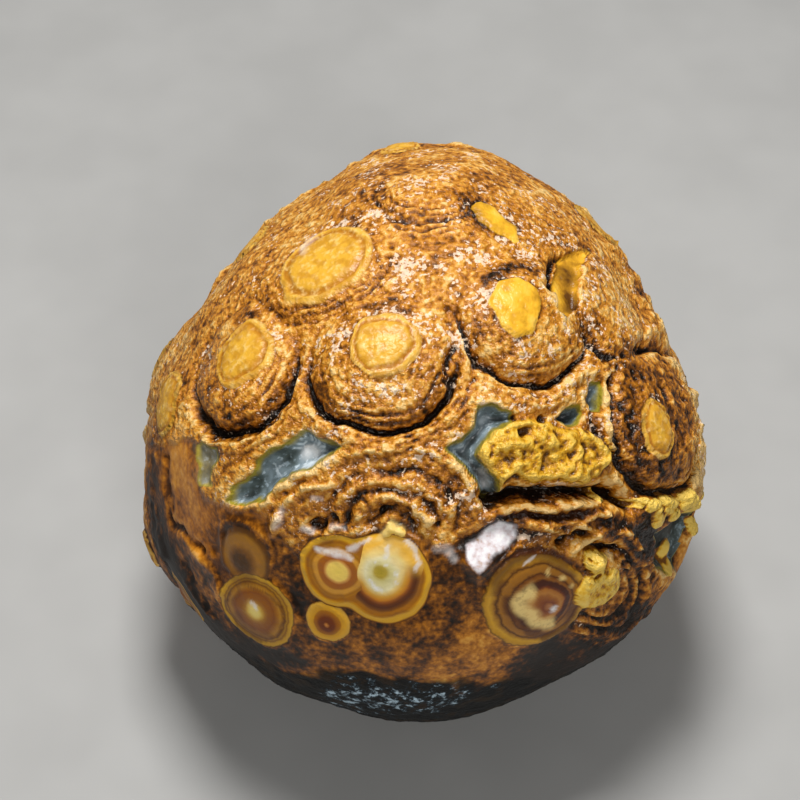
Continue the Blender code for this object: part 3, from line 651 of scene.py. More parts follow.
def outline_reach(angle):
    """Distance from the middle to the outline, in this direction round the face."""
    across = (np.array([p[0] for p in OUTLINE]) - MIDDLE_PIXEL[0]) * PIXEL
    along = (MIDDLE_PIXEL[1] - np.array([p[1] for p in OUTLINE])) * PIXEL
    turns = np.arctan2(along, across)
    order = np.argsort(turns)
    turns, reach = turns[order], np.hypot(across, along)[order]
    turns = np.concatenate([turns[-2:] - 2 * math.pi, turns, turns[:2] + 2 * math.pi])
    reach = np.concatenate([reach[-2:], reach, reach[:2]])
    k = np.clip(np.searchsorted(turns, angle) - 1, 1, len(turns) - 3)
    gap = turns[k + 1] - turns[k]
    t = (angle - turns[k]) / gap
    slope_in = (reach[k + 1] - reach[k - 1]) / (turns[k + 1] - turns[k - 1]) * gap
    slope_out = (reach[k + 2] - reach[k]) / (turns[k + 2] - turns[k]) * gap
    curve = (
        (2 * t**3 - 3 * t**2 + 1) * reach[k]
        + (t**3 - 2 * t**2 + t) * slope_in
        + (3 * t**2 - 2 * t**3) * reach[k + 1]
        + (t**3 - t**2) * slope_out
    )
    # The outline is a tangent from the viewer, so the widest section is a little smaller
    return curve * math.sqrt(1.0 - (FRONT_DEPTH / VIEWER) ** 2)


def body(directions):
    """The plain pebble: a point for each direction from the middle, in the face frame."""
    x, y, z = directions.T
    reach = outline_reach(np.arctan2(y, x))
    depth = np.where(z > 0.0, FRONT_DEPTH, BACK_DEPTH * (1.0 + BACK_SLANT * y))
    return np.stack([reach * x, reach * y, depth * z], axis=1)


def body_normals(directions):
    """Outward normals of the plain pebble."""
    step = 0.02
    helper = np.where(np.abs(directions[:, 2:]) < 0.9, (0.0, 0.0, 1.0), (1.0, 0.0, 0.0))
    first = np.cross(helper, directions)
    first /= np.linalg.norm(first, axis=1, keepdims=True)
    second = np.cross(directions, first)

    def moved(way):
        there = directions + step * way
        return body(there / np.linalg.norm(there, axis=1, keepdims=True))

    normals = np.cross(moved(first) - moved(-first), moved(second) - moved(-second))
    return normals / np.linalg.norm(normals, axis=1, keepdims=True)


def seen_at(points):
    """The pixel where each point of the face frame is seen."""
    nearness = VIEWER / (VIEWER - points[:, 2])
    across = MIDDLE_PIXEL[0] + points[:, 0] * nearness / PIXEL
    down = MIDDLE_PIXEL[1] - points[:, 1] * nearness / PIXEL
    return np.stack([across, down], axis=1)


def behind(pixel):
    """The direction from the middle to the point of the pebble's front that is seen at a pixel."""
    across = (pixel[0] - MIDDLE_PIXEL[0]) * PIXEL
    along = (MIDDLE_PIXEL[1] - pixel[1]) * PIXEL
    angle = math.atan2(along, across)
    reach = float(outline_reach(np.array([angle]))[0])
    flat = math.hypot(across, along) / reach
    share = min(flat, 0.99)
    for _ in range(40):
        share = min(flat * (VIEWER - FRONT_DEPTH * math.sqrt(1.0 - share**2)) / VIEWER, 0.995)
    return np.array([share * math.cos(angle), share * math.sin(angle), math.sqrt(1.0 - share**2)])


def direction_to(place):
    """The direction to a place that is given as a pixel of the face or as a direction."""
    return behind(place) if len(place) == 2 else np.array(place)


def plane_at(place, turn):
    """A place on the pebble, its normal, and two tangents there, turned by an angle in degrees."""
    direction = direction_to(place)
    origin = body(direction[None])[0]
    normal = body_normals(direction[None])[0]
    if len(place) == 2:
        right = np.array([1.0, 0.0, 0.0]) - normal[0] * normal
    else:
        right = np.cross((0.0, UP[2], TOWARDS[2]), normal)
    right /= np.linalg.norm(right)
    up = np.cross(normal, right)
    turn = math.radians(turn)
    major = right * math.cos(turn) + up * math.sin(turn)
    minor = up * math.cos(turn) - right * math.sin(turn)
    return origin, normal, major, minor


def shares_from(points, place, across, along, turn):
    """How far each point lies from a place across, along and outwards, as shares of the radii there."""
    origin, normal, major, minor = plane_at(place, turn)
    way = points - origin
    return way @ major / across, way @ minor / along, way @ normal / (2.0 * min(across, along))


def spread_from(points, place, across, along, turn=0.0):
    """How far each point lies from a place on the pebble, as a share of the radii there, and its angle."""
    a, b, c = shares_from(points, place, across, along, turn)
    return np.sqrt(a * a + b * b + c * c), np.arctan2(b * along, a * across) + math.radians(turn)


def nested_rings(points, inner, outer, across, along, turn):
    """0 in the middle of the innermost ring and 1 on the rim; rings between them drift across."""
    a, b, c = shares_from(points, inner, across, along, turn)
    drift_a, drift_b, _ = shares_from(plane_at(outer, turn)[0], inner, across, along, turn)
    square = 1.0 - drift_a**2 - drift_b**2
    along_drift = a * drift_a + b * drift_b
    spread = a * a + b * b + c * c
    return (-along_drift + np.sqrt(along_drift**2 + square * spread)) / square


def distance_to(points, ends):
    """Distance from each point to the line through these ends."""
    nearest = np.full(len(points), np.inf)
    for start, end in zip(ends[:-1], ends[1:]):
        way = end - start
        share = np.clip(((points - start) @ way) / (way @ way), 0.0, 1.0)
        gap = points - start - share[:, None] * way
        nearest = np.minimum(nearest, np.sqrt(np.einsum("ij,ij->i", gap, gap)))
    return nearest


def line_distance(pixels, line, closed=False):
    """Distance in millimetres from each pixel to a line on the face."""
    return distance_to(pixels, np.array(line + line[:1] if closed else line, float)) * PIXEL


def way_distance(points, line):
    """Distance in millimetres from each point to a line over the pebble, given by directions."""
    stops = []
    for start, end in zip(line[:-1], line[1:]):
        stops += [np.array(start) * (1.0 - share) + np.array(end) * share for share in (0.0, 0.33, 0.67)]
    stops = np.array(stops + [np.array(line[-1])])
    return distance_to(points, body(stops / np.linalg.norm(stops, axis=1, keepdims=True)))


def depth_inside(pixels, outline):
    """Distance in millimetres inside an outline on the face, negative outside it."""
    inside = np.zeros(len(pixels), bool)
    x, y = pixels.T
    for (x0, y0), (x1, y1) in zip(outline, outline[1:] + outline[:1]):
        crosses = (y0 > y) != (y1 > y)
        inside ^= crosses & (x < (x1 - x0) * (y - y0) / ((y1 - y0) or 1e-9) + x0)
    distance = line_distance(pixels, outline, closed=True)
    return np.where(inside, distance, -distance)


def depth_inside_any(pixels, forms):
    """The greatest distance in millimetres inside the outlines of these forms."""
    return np.max([depth_inside(pixels, outline) for outline, _ in forms.values()], axis=0)


def bump(distance, half_width):
    """A rounded ridge: 1 on the line, fading to 0 beyond its half width."""
    return np.exp(-((distance / half_width) ** 2))


def dome_relief(points):
    """Domes of crust with a groove round the lower side.

    Returns the height, the depth inside the nearest dome, and 1 on the lower side of that dome.
    """
    height = np.zeros(len(points))
    inside = np.full(len(points), -np.inf)
    groove, under = np.zeros(len(points)), np.zeros(len(points))
    domes = [(*dome, 0.0) for dome in DOMES.values()]
    domes += [(place, size, size, rise, rise, BACK_GROOVE_HALF_WIDTH, BACK_LEDGE)
              for place, size, rise, _ in BACK_DOMES]
    for place, across, along, rise, cut, half_width, ledge in domes:
        share, angle = spread_from(points, place, across, along)
        lower_side = smooth(-0.35, 0.6, -np.sin(angle))
        height = np.maximum(height, rise * np.clip(1.0 - share ** (1.8 + 1.7 * lower_side), 0.0, 1.0))
        depth = (1.0 - share) * 0.5 * (across + along)
        shape = cut * (0.08 + 0.92 * lower_side) * bump(depth + 0.15, half_width)
        shape -= ledge * lower_side * bump(depth + BACK_LEDGE_OUT, BACK_LEDGE_HALF_WIDTH)
        groove = np.where(depth > inside, shape, groove)
        under = np.where(depth > inside, lower_side, under)
        inside = np.maximum(inside, depth)
    return height - groove, inside, under


def disc_relief(points):
    """Raised discs with a rim and a groove inside it.

    Returns the height and the share of the nearest disc's radius.
    """
    height = np.zeros(len(points))
    nearest = np.full(len(points), FAR)
    discs = list(DISCS.values())
    discs += [(place, size, size * 0.9, 0.0, BACK_DISC_HEIGHT) for place, _, _, size in BACK_DOMES]
    discs += [(place, size, size * 0.85, 20.0, BACK_DISC_HEIGHT) for place, size in BACK_DISCS]
    for place, across, along, turn, rise in discs:
        share, _ = spread_from(points, place, across, along, turn)
        plateau = smooth(0.0, 0.12, 1.0 - share)
        rim_groove = bump(share - 0.79, 0.06)
        height = np.maximum(height, rise * (plateau - 0.45 * rim_groove * plateau))
        nearest = np.minimum(nearest, share)
    return height, nearest


def eye_relief(points):
    """Polished eyes: a low boss with a raised rim round it."""
    height = np.zeros(len(points))
    for place, across, along, turn, rise in EYES.values():
        share, _ = spread_from(points, place, across, along, turn)
        boss = rise * np.clip(1.0 - share**2, 0.0, 1.0)
        height = np.maximum(height, boss + 0.12 * bump(share - 0.93, 0.06))
    return height


def arc_relief(pixels):
    """Concentric ridges and grooves that run part of the way round their middle."""
    height = np.zeros(len(pixels))
    for middle, stretch, bearing, half_spread, rings in ARCS:
        across = (pixels[:, 0] - middle[0]) * PIXEL / stretch
        along = (middle[1] - pixels[:, 1]) * PIXEL
        turn = np.degrees(np.arctan2(along, across)) - bearing
        turn = np.abs((turn + 180.0) % 360.0 - 180.0)
        within = smooth(half_spread + 15.0, half_spread - 15.0, turn)
        for size, half_width, rise in rings:
            height += rise * within * bump(np.hypot(across, along) - size, half_width)
    return height


def ragged(points):
    """A factor about 1 that makes ledges and grooves uneven."""
    return 1.0 + 0.9 * lumpy(points, 1.3, 3, 4.0)


def face_relief(points, pixels):
    """Everything on the face that is drawn by its outline or its line, without the domes and discs."""
    height = arc_relief(pixels)
    for line, half_width, rise in LEDGES:
        height += rise * bump(line_distance(pixels, line), half_width)
    height *= ragged(points)
    for outline, rise in FLAKES.values():
        height += rise * smooth(-0.12, 0.18, depth_inside(pixels, outline))
    for outline, depth in POOLS.values():
        height -= depth * smooth(-0.10, 0.75, depth_inside(pixels, outline))
    outline, rise = LUMPS
    patch = smooth(-0.05, 0.45, depth_inside(pixels, outline))
    height += patch * rise * (1.0 + 0.9 * lumpy(points, 1.1, 2, 3.0))
    outline, middle, slope = FACET
    lean = np.clip((pixels[:, 1] - middle[1]) * PIXEL * slope, -0.55, 0.55)
    height += lean * smooth(-1.1, 0.1, depth_inside(pixels, outline))
    line, half_width, depth = CRACK
    return height - depth * bump(line_distance(pixels, line), half_width)


def back_relief(points):
    """Ledges and grooves where the photograph doesn't reach."""
    height = np.zeros(len(points))
    for line, half_width, rise in BACK_LEDGES:
        height += rise * bump(way_distance(points, line), half_width)
    return height * ragged(points)


def small_relief(points):
    """Knobs and pits, and the pools of the back.

    Returns the height, the depth inside any of those pools and the share of the nearest knob's radius.
    """
    height = np.zeros(len(points))
    inside = np.full(len(points), -FAR)
    knob = np.full(len(points), FAR)
    for place, across, along, turn, rise in KNOBS:
        share, _ = spread_from(points, place, across, along, turn)
        height += rise * np.sqrt(np.clip(1.0 - share**2, 0.0, 1.0))
        knob = np.minimum(knob, share)
    for place, size, depth in PITS:
        share, _ = spread_from(points, place, size, size)
        height -= depth * np.exp(-(share**4))
    for place, size, depth in BACK_POOLS:
        share, _ = spread_from(points, place, size, size * 0.7, 25.0)
        height -= depth * smooth(0.0, 0.3, 1.0 - share)
        inside = np.maximum(inside, (1.0 - share) * size * 0.8)
    return height, inside, knob


def painted_tone(pixels):
    """The change of tone at each pixel of the face."""
    tone = np.zeros(len(pixels))
    for line, half_width, change in SHADES:
        tone += change * bump(line_distance(pixels, line), half_width)
    return tone


def painted(pixels, strokes):
    """How strongly each pixel of the face is covered by soft strokes."""
    cover = np.zeros(len(pixels))
    for line, half_width, strength in strokes:
        distance = line_distance(pixels, line)
        cover = np.maximum(cover, strength * smooth(1.4 * half_width, 0.4 * half_width, distance))
    return cover


def ring_fields(points):
    """How far out each point lies in the nearest eye of each palette, and how far inside the twins."""
    fields = {}
    for name, places in RINGED.items():
        fields[name] = np.min([nested_rings(points, *place) for place in places], axis=0)
    depths = [np.clip((1.0 - fields[name]) * radius, -FAR, FAR) for name, radius in TWIN_RADII.items()]
    fields["twins"] = TWIN_SOFTNESS * np.logaddexp(*(depth / TWIN_SOFTNESS for depth in depths))
    return fields


def twin_reach(pixels):
    """1 in the upper part of the large twin, and how far its own rings reach as a share of its radius."""
    leftwards = np.clip(CONTACT_ACROSS[0] - pixels[:, 0], 0.0, 14.0)
    up = smooth(-8.0, 12.0, TWIN_LARGE[0][1] - pixels[:, 1] + 0.5 * leftwards)
    contact = smooth(*CONTACT_ACROSS, pixels[:, 0]) * smooth(*CONTACT_DOWN, pixels[:, 1])
    plain, more, less = TWIN_REACH
    return up, plain + more * up * (1.0 - contact) - less * contact


def stone_surface(directions):
    """The finished surface for each direction, in the part's frame in millimetres, and its fields."""
    points = body(directions)
    normals = body_normals(directions)
    warp = np.stack([lumpy(points, WARP_SIZE, 3, place) for place in (10.0, 20.0, 30.0)], axis=1)
    bent = points + FORM_WARP * warp
    to_viewer = np.array([0.0, 0.0, VIEWER]) - points
    facing = np.sum(normals * to_viewer, axis=1) / np.linalg.norm(to_viewer, axis=1)
    on_face = smooth(-0.06, 0.06, facing)
    domes, dome_depth, under = dome_relief(bent)
    swell = SWELL_HEIGHT * lumpy(points, SWELL_SIZE, 2, 5.0)
    lift = (domes + swell)[:, None] * normals
    pixels = seen_at(bent + lift)
    discs, disc_share = disc_relief(bent)
    small, back_pool, knob = small_relief(bent)
    height = domes + swell + discs + eye_relief(bent) + small
    height += on_face * face_relief(bent, pixels) + (1.0 - on_face) * back_relief(bent)

    def where_seen(values, elsewhere=-FAR):
        return np.where(on_face > 0.5, values, elsewhere)

    # What is polished, what is dark chalcedony, which on the face is partly painted shade, and what is
    # crust
    placed = points @ FACE_AXES + MIDDLE
    standing = placed[:, 2] + EDGE_WARP * warp[:, 0] + EDGE_SWELL * lumpy(points, EDGE_SWELL_SIZE, 2, 40.0)
    polished_face = smooth(-0.25, 0.25, depth_inside(pixels, POLISHED_EDGE))
    polished = on_face * polished_face + (1.0 - on_face) * smooth(0.8, -0.8, standing - POLISHED_HEIGHT)
    dark_face = depth_inside(seen_at(points + DARK_WARP * warp), DARK_EDGE)
    dark_below = DARK_HEIGHT + DARK_RISE * smooth(*DARK_RISE_FROM, -placed[:, 1]) - standing
    dark = dark_below + smooth(-0.05, 0.25, facing) * (dark_face - dark_below)
    pool = where_seen(depth_inside_any(pixels, POOLS), back_pool)
    flake = where_seen(depth_inside_any(pixels, FLAKES))
    yellow = np.maximum(smooth(1.0, 0.9, disc_share), smooth(-0.1, 0.1, flake))
    crust = (1.0 - polished) * smooth(0.2, -0.1, pool) * (1.0 - 0.8 * yellow)

    # The grain of each
    front = smooth(-0.35, 0.3, directions[:, 2])
    coarse = crust * (1.0 + on_face * painted(pixels, COARSE))
    for size, shift, rise, more in GRAINS:
        height += coarse * (rise + more * front) * (grains(points + shift * warp, size) - 0.5)
    size, rise = SMOOTH_LUMPS
    height += (1.0 - crust) * rise * lumpy(points, size, 2, 9.0)
    size, rise = DARK_LUMPS
    height += smooth(-0.3, 0.5, dark) * rise * lumpy(points, size, 2, 13.0)
    layers = np.sin(2.0 * math.pi * dome_depth / LAYER_SPACING) * smooth(-2.4, -0.5, dome_depth)
    layers *= smooth(2.2, 0.8, dome_depth) * (0.1 + 0.9 * under) * (0.7 + 1.2 * lumpy(points, 3.0, 1, 2.0))
    height += LAYER_HEIGHT * crust * layers

    twin_up, twin_limit = twin_reach(pixels)
    fields = {
        "crust": crust,
        "polished": polished,
        "dark": dark,
        "pool": pool,
        "disc": disc_share,
        "flake": flake,
        "lumps": where_seen(depth_inside(pixels, LUMPS[0])),
        "knob": knob,
        "facet": where_seen(depth_inside(pixels, FACET[0])),
        # Painted shade: the tone darkens on the lower side of every dome
        "tone": on_face * painted_tone(pixels) - 0.20 * under * bump(dome_depth - 0.4, 0.9),
        "twin_up": twin_up,
        "twin_limit": twin_limit,
        # Painted highlights and glints, with some of the stone's own white and cream
        "white_and_highlight": on_face * painted(pixels, WHITE_AND_HIGHLIGHTS),
        "cream_and_highlight": on_face * painted(pixels, CREAM_AND_HIGHLIGHTS),
        "umber": on_face * painted(pixels, UMBER),
        "amber": on_face * painted(pixels, AMBER),
        "flank": smooth(0.70, 0.40, directions[:, 2]) * smooth(-0.40, 0.0, directions[:, 2]),
        # For painted glints: how nearly the surface faces halfway between the viewer and the key light
        "glint_facing": smooth(0.45, 0.95, normals @ np.array(GLINT_WAY)),
    }
    fields.update(ring_fields(points + RING_WARP * warp))
    points = (points + normals * height[:, None]) @ FACE_AXES + MIDDLE
    points[:, 2] = np.maximum(points[:, 2], 0.0)
    return points, fields


def sphere_grid(quads):
    """A sphere of even quads whose points lie closer together at the front: a bmesh of unit directions."""
    grid = bmesh.new()
    bmesh.ops.create_cube(grid, size=2.0)
    bmesh.ops.subdivide_edges(grid, edges=grid.edges[:], cuts=quads - 1, use_grid_fill=True)
    cube = np.array([v.co for v in grid.verts])
    ball = np.tan(cube * math.pi / 4.0)
    ball /= np.linalg.norm(ball, axis=1, keepdims=True)
    # A stereographic scaling about the front pole keeps the quads square
    flat = ball[:, :2] / (1.0 + ball[:, 2:] + 1e-9) / FRONT_CLOSENESS
    square = np.sum(flat**2, axis=1, keepdims=True)
    ball = np.hstack([2.0 * flat, 1.0 - square]) / (1.0 + square)
    return grid, ball


def hollowness(points, edges, rounds):
    """How far each point lies below the mean of its surroundings, which widen with the rounds."""
    mean = points.copy()
    count = np.bincount(edges.ravel(), minlength=len(points))[:, None]
    for _ in range(rounds):
        total = np.zeros_like(mean)
        for axis in range(3):
            total[:, axis] += np.bincount(edges[:, 0], mean[edges[:, 1], axis], len(points))
            total[:, axis] += np.bincount(edges[:, 1], mean[edges[:, 0], axis], len(points))
        mean = total / count
    outward = points - MIDDLE
    outward /= np.linalg.norm(outward, axis=1, keepdims=True)
    return np.sum((mean - points) * outward, axis=1)


def make_stone():
    """The stone's mesh, with its painted fields as attributes."""
    grid, directions = sphere_grid(GRID)
    points, fields = stone_surface(directions)
    for vertex, place in zip(grid.verts, points * METRE):
        vertex.co = place
    bmesh.ops.recalc_face_normals(grid, faces=grid.faces[:])
    mesh = bpy.data.meshes.new("agate")
    grid.to_mesh(mesh)
    grid.free()
    edges = np.zeros(2 * len(mesh.edges), int)
    mesh.edges.foreach_get("vertices", edges)
    edges = edges.reshape(-1, 2)
    fields["hollow"] = hollowness(points, edges, NARROW_ROUNDS)
    fields["wide_hollow"] = hollowness(points, edges, WIDE_ROUNDS)
    for name, values in fields.items():
        attribute = mesh.attributes.new(name, "FLOAT", "POINT")
        attribute.data.foreach_set("value", values.astype(np.float32))
    mesh.shade_smooth()
    stone = bpy.data.objects.new("agate", mesh)
    bpy.context.scene.collection.objects.link(stone)
    return stone


def linear(colour):
    """Scene-linear RGBA of a colour given as seen."""
    shares = [c / 255.0 for c in colour]
    return tuple(s / 12.92 if s <= 0.04045 else ((s + 0.055) / 1.055) ** 2.4 for s in shares) + (1.0,)


class Nodes:
    """Short calls that add shader nodes to a material and return their output."""

    def __init__(self, material):
        material.use_nodes = True
        self.tree = material.node_tree
        self.tree.nodes.clear()
        self.place = self.add("ShaderNodeTexCoord", {}, "Object")

    def add(self, kind, inputs, output=0, **settings):
        """A node with its settings and its inputs, each a value or another node's output."""
        node = self.tree.nodes.new(kind)
        for name, value in settings.items():
            setattr(node, name, value)
        for name, value in inputs.items():
            if isinstance(value, bpy.types.NodeSocket):
                self.tree.links.new(value, node.inputs[name])
            else:
                node.inputs[name].default_value = value
        return node.outputs[output] if node.outputs else None

    def field(self, name):
        """A painted field of the mesh."""
        return self.add("ShaderNodeAttribute", {}, "Fac", attribute_name=name)

    def math(self, operation, *values, clamp=False):
        """A sum, product or other operation on values."""
        inputs = dict(enumerate(values))
        return self.add("ShaderNodeMath", inputs, operation=operation, use_clamp=clamp)

    def vary(self, value, noise, amount):
        """A value moved by noise about 0.5."""
        return self.math("MULTIPLY_ADD", self.math("SUBTRACT", noise, 0.5), amount, value)

    def step(self, value, low, high, low_out=0.0, high_out=1.0):
        """A smooth step from low_out at low to high_out at high."""
        inputs = {"Value": value, 1: low, 2: high, 3: low_out, 4: high_out}
        return self.add("ShaderNodeMapRange", inputs, interpolation_type="SMOOTHSTEP")

    def mix(self, share, first, second):
        """Colours mixed by a share; the second may be the name of a plain colour."""
        if isinstance(second, str):
            second = linear(TINTS[second])
        return self.add("ShaderNodeMix", {0: share, 6: first, 7: second}, 2, data_type="RGBA")

    def blend(self, share, first, second):
        """Values mixed by a share."""
        return self.add("ShaderNodeMix", {0: share, 2: first, 3: second}, 0, data_type="FLOAT")

    def ramp(self, value, stops):
        """A colour for each value, from stops of position and colour as seen."""
        out = self.add("ShaderNodeValToRGB", {0: value})
        elements = out.node.color_ramp.elements
        elements.remove(elements[1])
        elements[0].position = stops[0][0]
        elements[0].color = linear(stops[0][1])
        for position, colour in stops[1:]:
            elements.new(position).color = linear(colour)
        return out

    def noise(self, size, detail=3.0, roughness=0.5):
        """Noise about 0.5, with lumps of this size in millimetres."""
        inputs = {"Scale": 1.0 / (size * METRE), "Detail": detail, "Roughness": roughness}
        return self.add("ShaderNodeTexNoise", {"Vector": self.place, **inputs})


def agate_material():
    """Golden crust, polished brown, ringed eyes, yellow discs and grey chalcedony, each from its field."""
    material = bpy.data.materials.new("agate")
    n = Nodes(material)
    crust, polished, pool, tone = n.field("crust"), n.field("polished"), n.field("pool"), n.field("tone")
    hollow, wide_hollow = n.field("hollow"), n.field("wide_hollow")
    broad, middling, small = n.noise(6.0, 3.0), n.noise(1.6, 4.0), n.noise(0.40, 3.0)

    # Round grains packed side by side, on the crust
    wander = n.add("ShaderNodeTexNoise", {"Vector": n.place, "Scale": GRAIN_WANDER_CELLS, "Detail": 1.0},
                   "Color")
    grain_place = n.add("ShaderNodeVectorMath", {0: wander, 1: GRAIN_WANDER, 2: n.place},
                        operation="MULTIPLY_ADD")
    cell = n.add("ShaderNodeTexVoronoi", {"Vector": grain_place, "Scale": GRAIN_CELLS}, feature="F1")
    grain = n.math("SUBTRACT", 1.0, n.math("MULTIPLY", n.math("MULTIPLY", cell, cell), 1.5), clamp=True)

    # The ochre runs from near black in its hollows to yellow on its tops
    value = n.math("ADD", n.blend(crust, 0.29, 0.66), tone)
    value = n.vary(value, broad, n.blend(crust, 1.1, 0.85))
    value = n.vary(value, middling, n.blend(crust, 1.05, 0.85))
    value = n.vary(value, small, n.blend(crust, 0.7, 1.0))
    value = n.math("MULTIPLY_ADD", n.math("MULTIPLY", n.math("SUBTRACT", grain, 0.62), crust), 0.16, value)
    value = n.math("MULTIPLY_ADD", hollow, -2.0, value)
    value = n.math("MULTIPLY_ADD", wide_hollow, -0.45, value)
    colour = n.ramp(value, RAMPS["ochre"])

    # Pale grains on the crust, in clusters, thicker where the crust faces halfway between the viewer and
    # the key
    # light: partly pale grains, partly painted glints
    cluster = n.math("MULTIPLY_ADD", tone, 0.3, n.math("MULTIPLY", n.noise(2.4, 2.0), 0.7))
    cluster = n.math("MULTIPLY_ADD", n.field("glint_facing"), 0.10, cluster)
    speck_and_glint = n.math("ADD", n.noise(0.34, 2.0, roughness=0.6), cluster)
    speck_and_glint = n.math("MULTIPLY", n.step(speck_and_glint, 1.03, 1.09), crust)
    colour = n.mix(n.math("MULTIPLY", speck_and_glint, 0.75), colour, "speck_and_glint")

    # Amber staining on the left, from brown to orange
    colour = n.mix(n.field("amber"), colour, n.ramp(value, RAMPS["amber"]))

    # Ringed eyes, the nearer ones over the others; their rings waver
    waver = n.vary(n.math("MULTIPLY", middling, 0.10), small, 0.05)
    for name, cover in (("faint", 0.75), ("gold", 1.0), ("dark_middle", 1.0), ("banded", 1.0)):
        share = n.math("ADD", n.field(name), n.math("SUBTRACT", waver, 0.05))
        colour = n.mix(n.step(share, 1.02, 0.98, 0.0, cover), colour, n.ramp(share, RINGS[name]))
    twins = n.field("twins")
    colour = n.mix(n.step(twins, -0.06, 0.0), colour, n.ramp(twins, RINGS["twins"]))
    share = n.field("twin_small")
    colour = n.mix(n.step(share, 0.75, 0.71), colour, n.ramp(share, RINGS["twin_small"]))
    # The large twin is lighter at the top: partly its own bands, partly painted light
    share = n.field("twin_large")
    up = n.field("twin_up")
    large = n.mix(up, n.ramp(share, RINGS["twin_large"]), n.ramp(share, RINGS["twin_top_lit"]))
    colour = n.mix(n.step(n.math("SUBTRACT", share, n.field("twin_limit")), 0.0, -0.03), colour, large)
    colour = n.mix(n.field("umber"), colour, "umber")

    # Raised yellow discs, flat flakes and the lumpy patch
    disc = n.vary(n.field("disc"), middling, 0.14)
    disc_colour = n.ramp(disc, RINGS["disc"])
    disc_colour = n.mix(n.step(small, 0.45, 0.75, 0.0, 0.7), disc_colour, "disc_light")
    disc_colour = n.mix(n.step(n.noise(0.9, 3.0), 0.56, 0.40, 0.0, 0.6), disc_colour, "disc_dark")
    colour = n.mix(n.step(disc, 1.02, 0.97), colour, disc_colour)
    flake_colour = n.ramp(n.math("ADD", middling, tone), RAMPS["flake"])
    colour = n.mix(n.step(n.field("flake"), -0.05, 0.05), colour, flake_colour)
    lump_colour = n.ramp(n.math("MULTIPLY_ADD", hollow, -3.0, small), RAMPS["lumps"])
    colour = n.mix(n.step(n.field("lumps"), -0.1, 0.1), colour, lump_colour)

    # The pale facet: partly milky stone, partly a painted highlight
    facet = n.vary(n.field("facet"), middling, 0.9)
    milk_and_highlight = n.ramp(n.blend(0.5, small, n.noise(0.9, 3.0)), RAMPS["milk_and_highlight"])
    colour = n.mix(n.step(facet, -0.30, 0.12, 0.0, 0.95), colour, milk_and_highlight)

    # Grey chalcedony with an ochre fringe, and the dark kind below, which on the face is partly painted
    # shade
    cloud = n.vary(n.math("ADD", tone, 0.48), n.noise(1.5, 4.0), 1.3)
    cloud = n.math("MULTIPLY_ADD", n.step(small, 0.52, 0.66), 0.30, cloud)
    edge = n.vary(pool, middling, 0.7)
    fringed = n.mix(n.step(edge, 0.32, 0.08), n.ramp(cloud, RAMPS["grey"]), "fringe")
    colour = n.mix(n.step(edge, -0.08, 0.08), colour, fringed)
    dark = n.step(n.field("dark"), -0.35, 0.35)
    frost = n.vary(tone, n.noise(0.7, 5.0, roughness=0.7), 2.5)
    rust = n.math("MULTIPLY", n.step(middling, 0.48, 0.62, 0.0, 0.6), n.step(frost, 0.35, 0.15))
    slate = n.mix(rust, n.ramp(frost, RAMPS["slate"]), "rust")
    colour = n.mix(dark, colour, slate)

    # Yellow knobs, and the strokes of cream and white, which are painted highlights and glints as well as
    # the stone's own pale colours
    knob_value = n.math("MULTIPLY_ADD", hollow, -3.0, n.blend(0.6, middling, small))
    colour = n.mix(n.step(n.field("knob"), 1.08, 0.98), colour, n.ramp(knob_value, RAMPS["knob"]))
    patchy = n.step(small, 0.30, 0.55, 0.65, 1.0)
    for name in ("cream_and_highlight", "white_and_highlight"):
        colour = n.mix(n.math("MULTIPLY", n.field(name), patchy), colour, name)

    # Near black in every wide groove
    groove_dark = n.step(wide_hollow, 0.25, 0.95)
    colour = n.mix(n.math("MULTIPLY", groove_dark, 0.8), colour, "groove_dark")

    # Glossy crust, polish and hollows; matt flanks, and a matt dark base between its frosted spots
    rough = n.blend(crust, n.blend(polished, 0.36, 0.30), 0.24)
    rough = n.blend(n.step(pool, 0.0, 0.3), rough, 0.20)
    rough = n.blend(n.field("flank"), rough, 0.62)
    rough = n.blend(dark, rough, n.step(frost, 0.45, 0.65, 0.75, 0.3))

    # Fine relief: round grains on the crust, faint ripples elsewhere
    relief = n.math("MULTIPLY_ADD", small, 2.2, n.math("MULTIPLY", grain, 0.45))
    strength = n.blend(dark, n.blend(crust, 0.10, 1.0), 0.45)
    height = n.math("MULTIPLY", relief, strength)
    normal = n.add("ShaderNodeBump", {"Strength": 1.0, "Distance": BUMP_HEIGHT * METRE, "Height": height})

    shader = n.add("ShaderNodeBsdfPrincipled", {
        "Base Color": colour, "Roughness": rough, "Normal": normal, "Specular IOR Level": 0.36})
    n.add("ShaderNodeOutputMaterial", {"Surface": shader})
    return material


def floor_material():
    """Pale plain ground with a faint mottle."""
    material = bpy.data.materials.new("floor")
    n = Nodes(material)
    tone = n.ramp(n.noise(9.0, 2.0), RAMPS["floor"])
    shader = n.add("ShaderNodeBsdfPrincipled", {"Base Color": tone, "Roughness": 0.75})
    n.add("ShaderNodeOutputMaterial", {"Surface": shader})
    return material


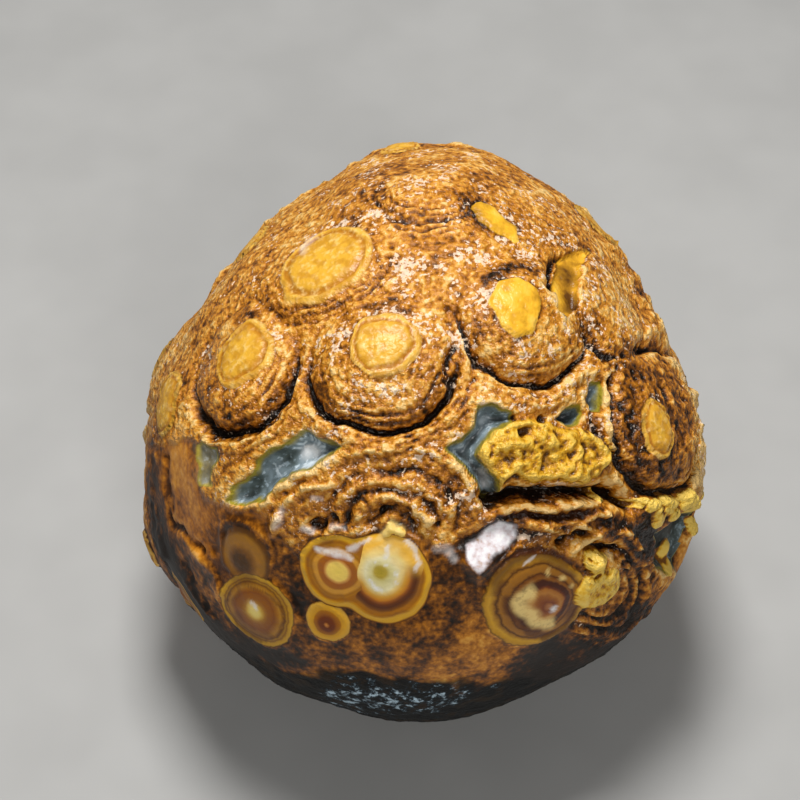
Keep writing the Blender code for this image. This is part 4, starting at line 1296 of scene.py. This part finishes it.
def make_floor():
    """A wide plain floor under the stone."""
    mesh = bpy.data.meshes.new("floor")
    corners = [(-1, -1), (1, -1), (1, 1), (-1, 1)]
    mesh.from_pydata([(x * FLOOR_REACH, y * FLOOR_REACH, 0) for x, y in corners], [], [(0, 1, 2, 3)])
    floor = bpy.data.objects.new("floor", mesh)
    bpy.context.scene.collection.objects.link(floor)
    mesh.materials.append(floor_material())


def make_camera():
    """The photograph's view: down at the face along its normal, framed as in the photograph."""
    data = bpy.data.cameras.new("camera")
    data.sensor_width = 36.0
    data.lens = data.sensor_width * VIEWER / (PHOTO_PIXELS * PIXEL)
    data.shift_x = (PHOTO_PIXELS / 2 - MIDDLE_PIXEL[0]) / PHOTO_PIXELS
    data.shift_y = (MIDDLE_PIXEL[1] - PHOTO_PIXELS / 2) / PHOTO_PIXELS
    data.clip_start = 0.01
    camera = bpy.data.objects.new("camera", data)
    camera.location = (MIDDLE + TOWARDS * VIEWER) * METRE
    camera.rotation_euler = Vector(TOWARDS).to_track_quat("Z", "Y").to_euler()
    bpy.context.scene.collection.objects.link(camera)
    bpy.context.scene.camera = camera


def make_light(name, way, distance, size, power):
    """A square softbox aimed at the stone."""
    data = bpy.data.lights.new(name, "AREA")
    data.size = size
    data.energy = power
    light = bpy.data.objects.new(name, data)
    direction = np.array(way) @ FACE_AXES
    direction /= np.linalg.norm(direction)
    light.location = MIDDLE * METRE + direction * distance
    light.rotation_euler = Vector(direction).to_track_quat("Z", "Y").to_euler()
    bpy.context.scene.collection.objects.link(light)


def make_lighting():
    """Two softboxes and an even pale surround."""
    for name, light in LIGHTS.items():
        make_light(name, *light)
    world = bpy.data.worlds.new("studio")
    world.use_nodes = True
    background = world.node_tree.nodes["Background"]
    background.inputs["Color"].default_value = (1.0, 1.0, 1.0, 1.0)
    background.inputs["Strength"].default_value = AMBIENT
    bpy.context.scene.world = world
    bpy.context.scene.view_settings.view_transform = "Standard"


stone = make_stone()
stone.data.materials.append(agate_material())
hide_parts("stone")
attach(stone, "root")
make_floor()
make_camera()
make_lighting()
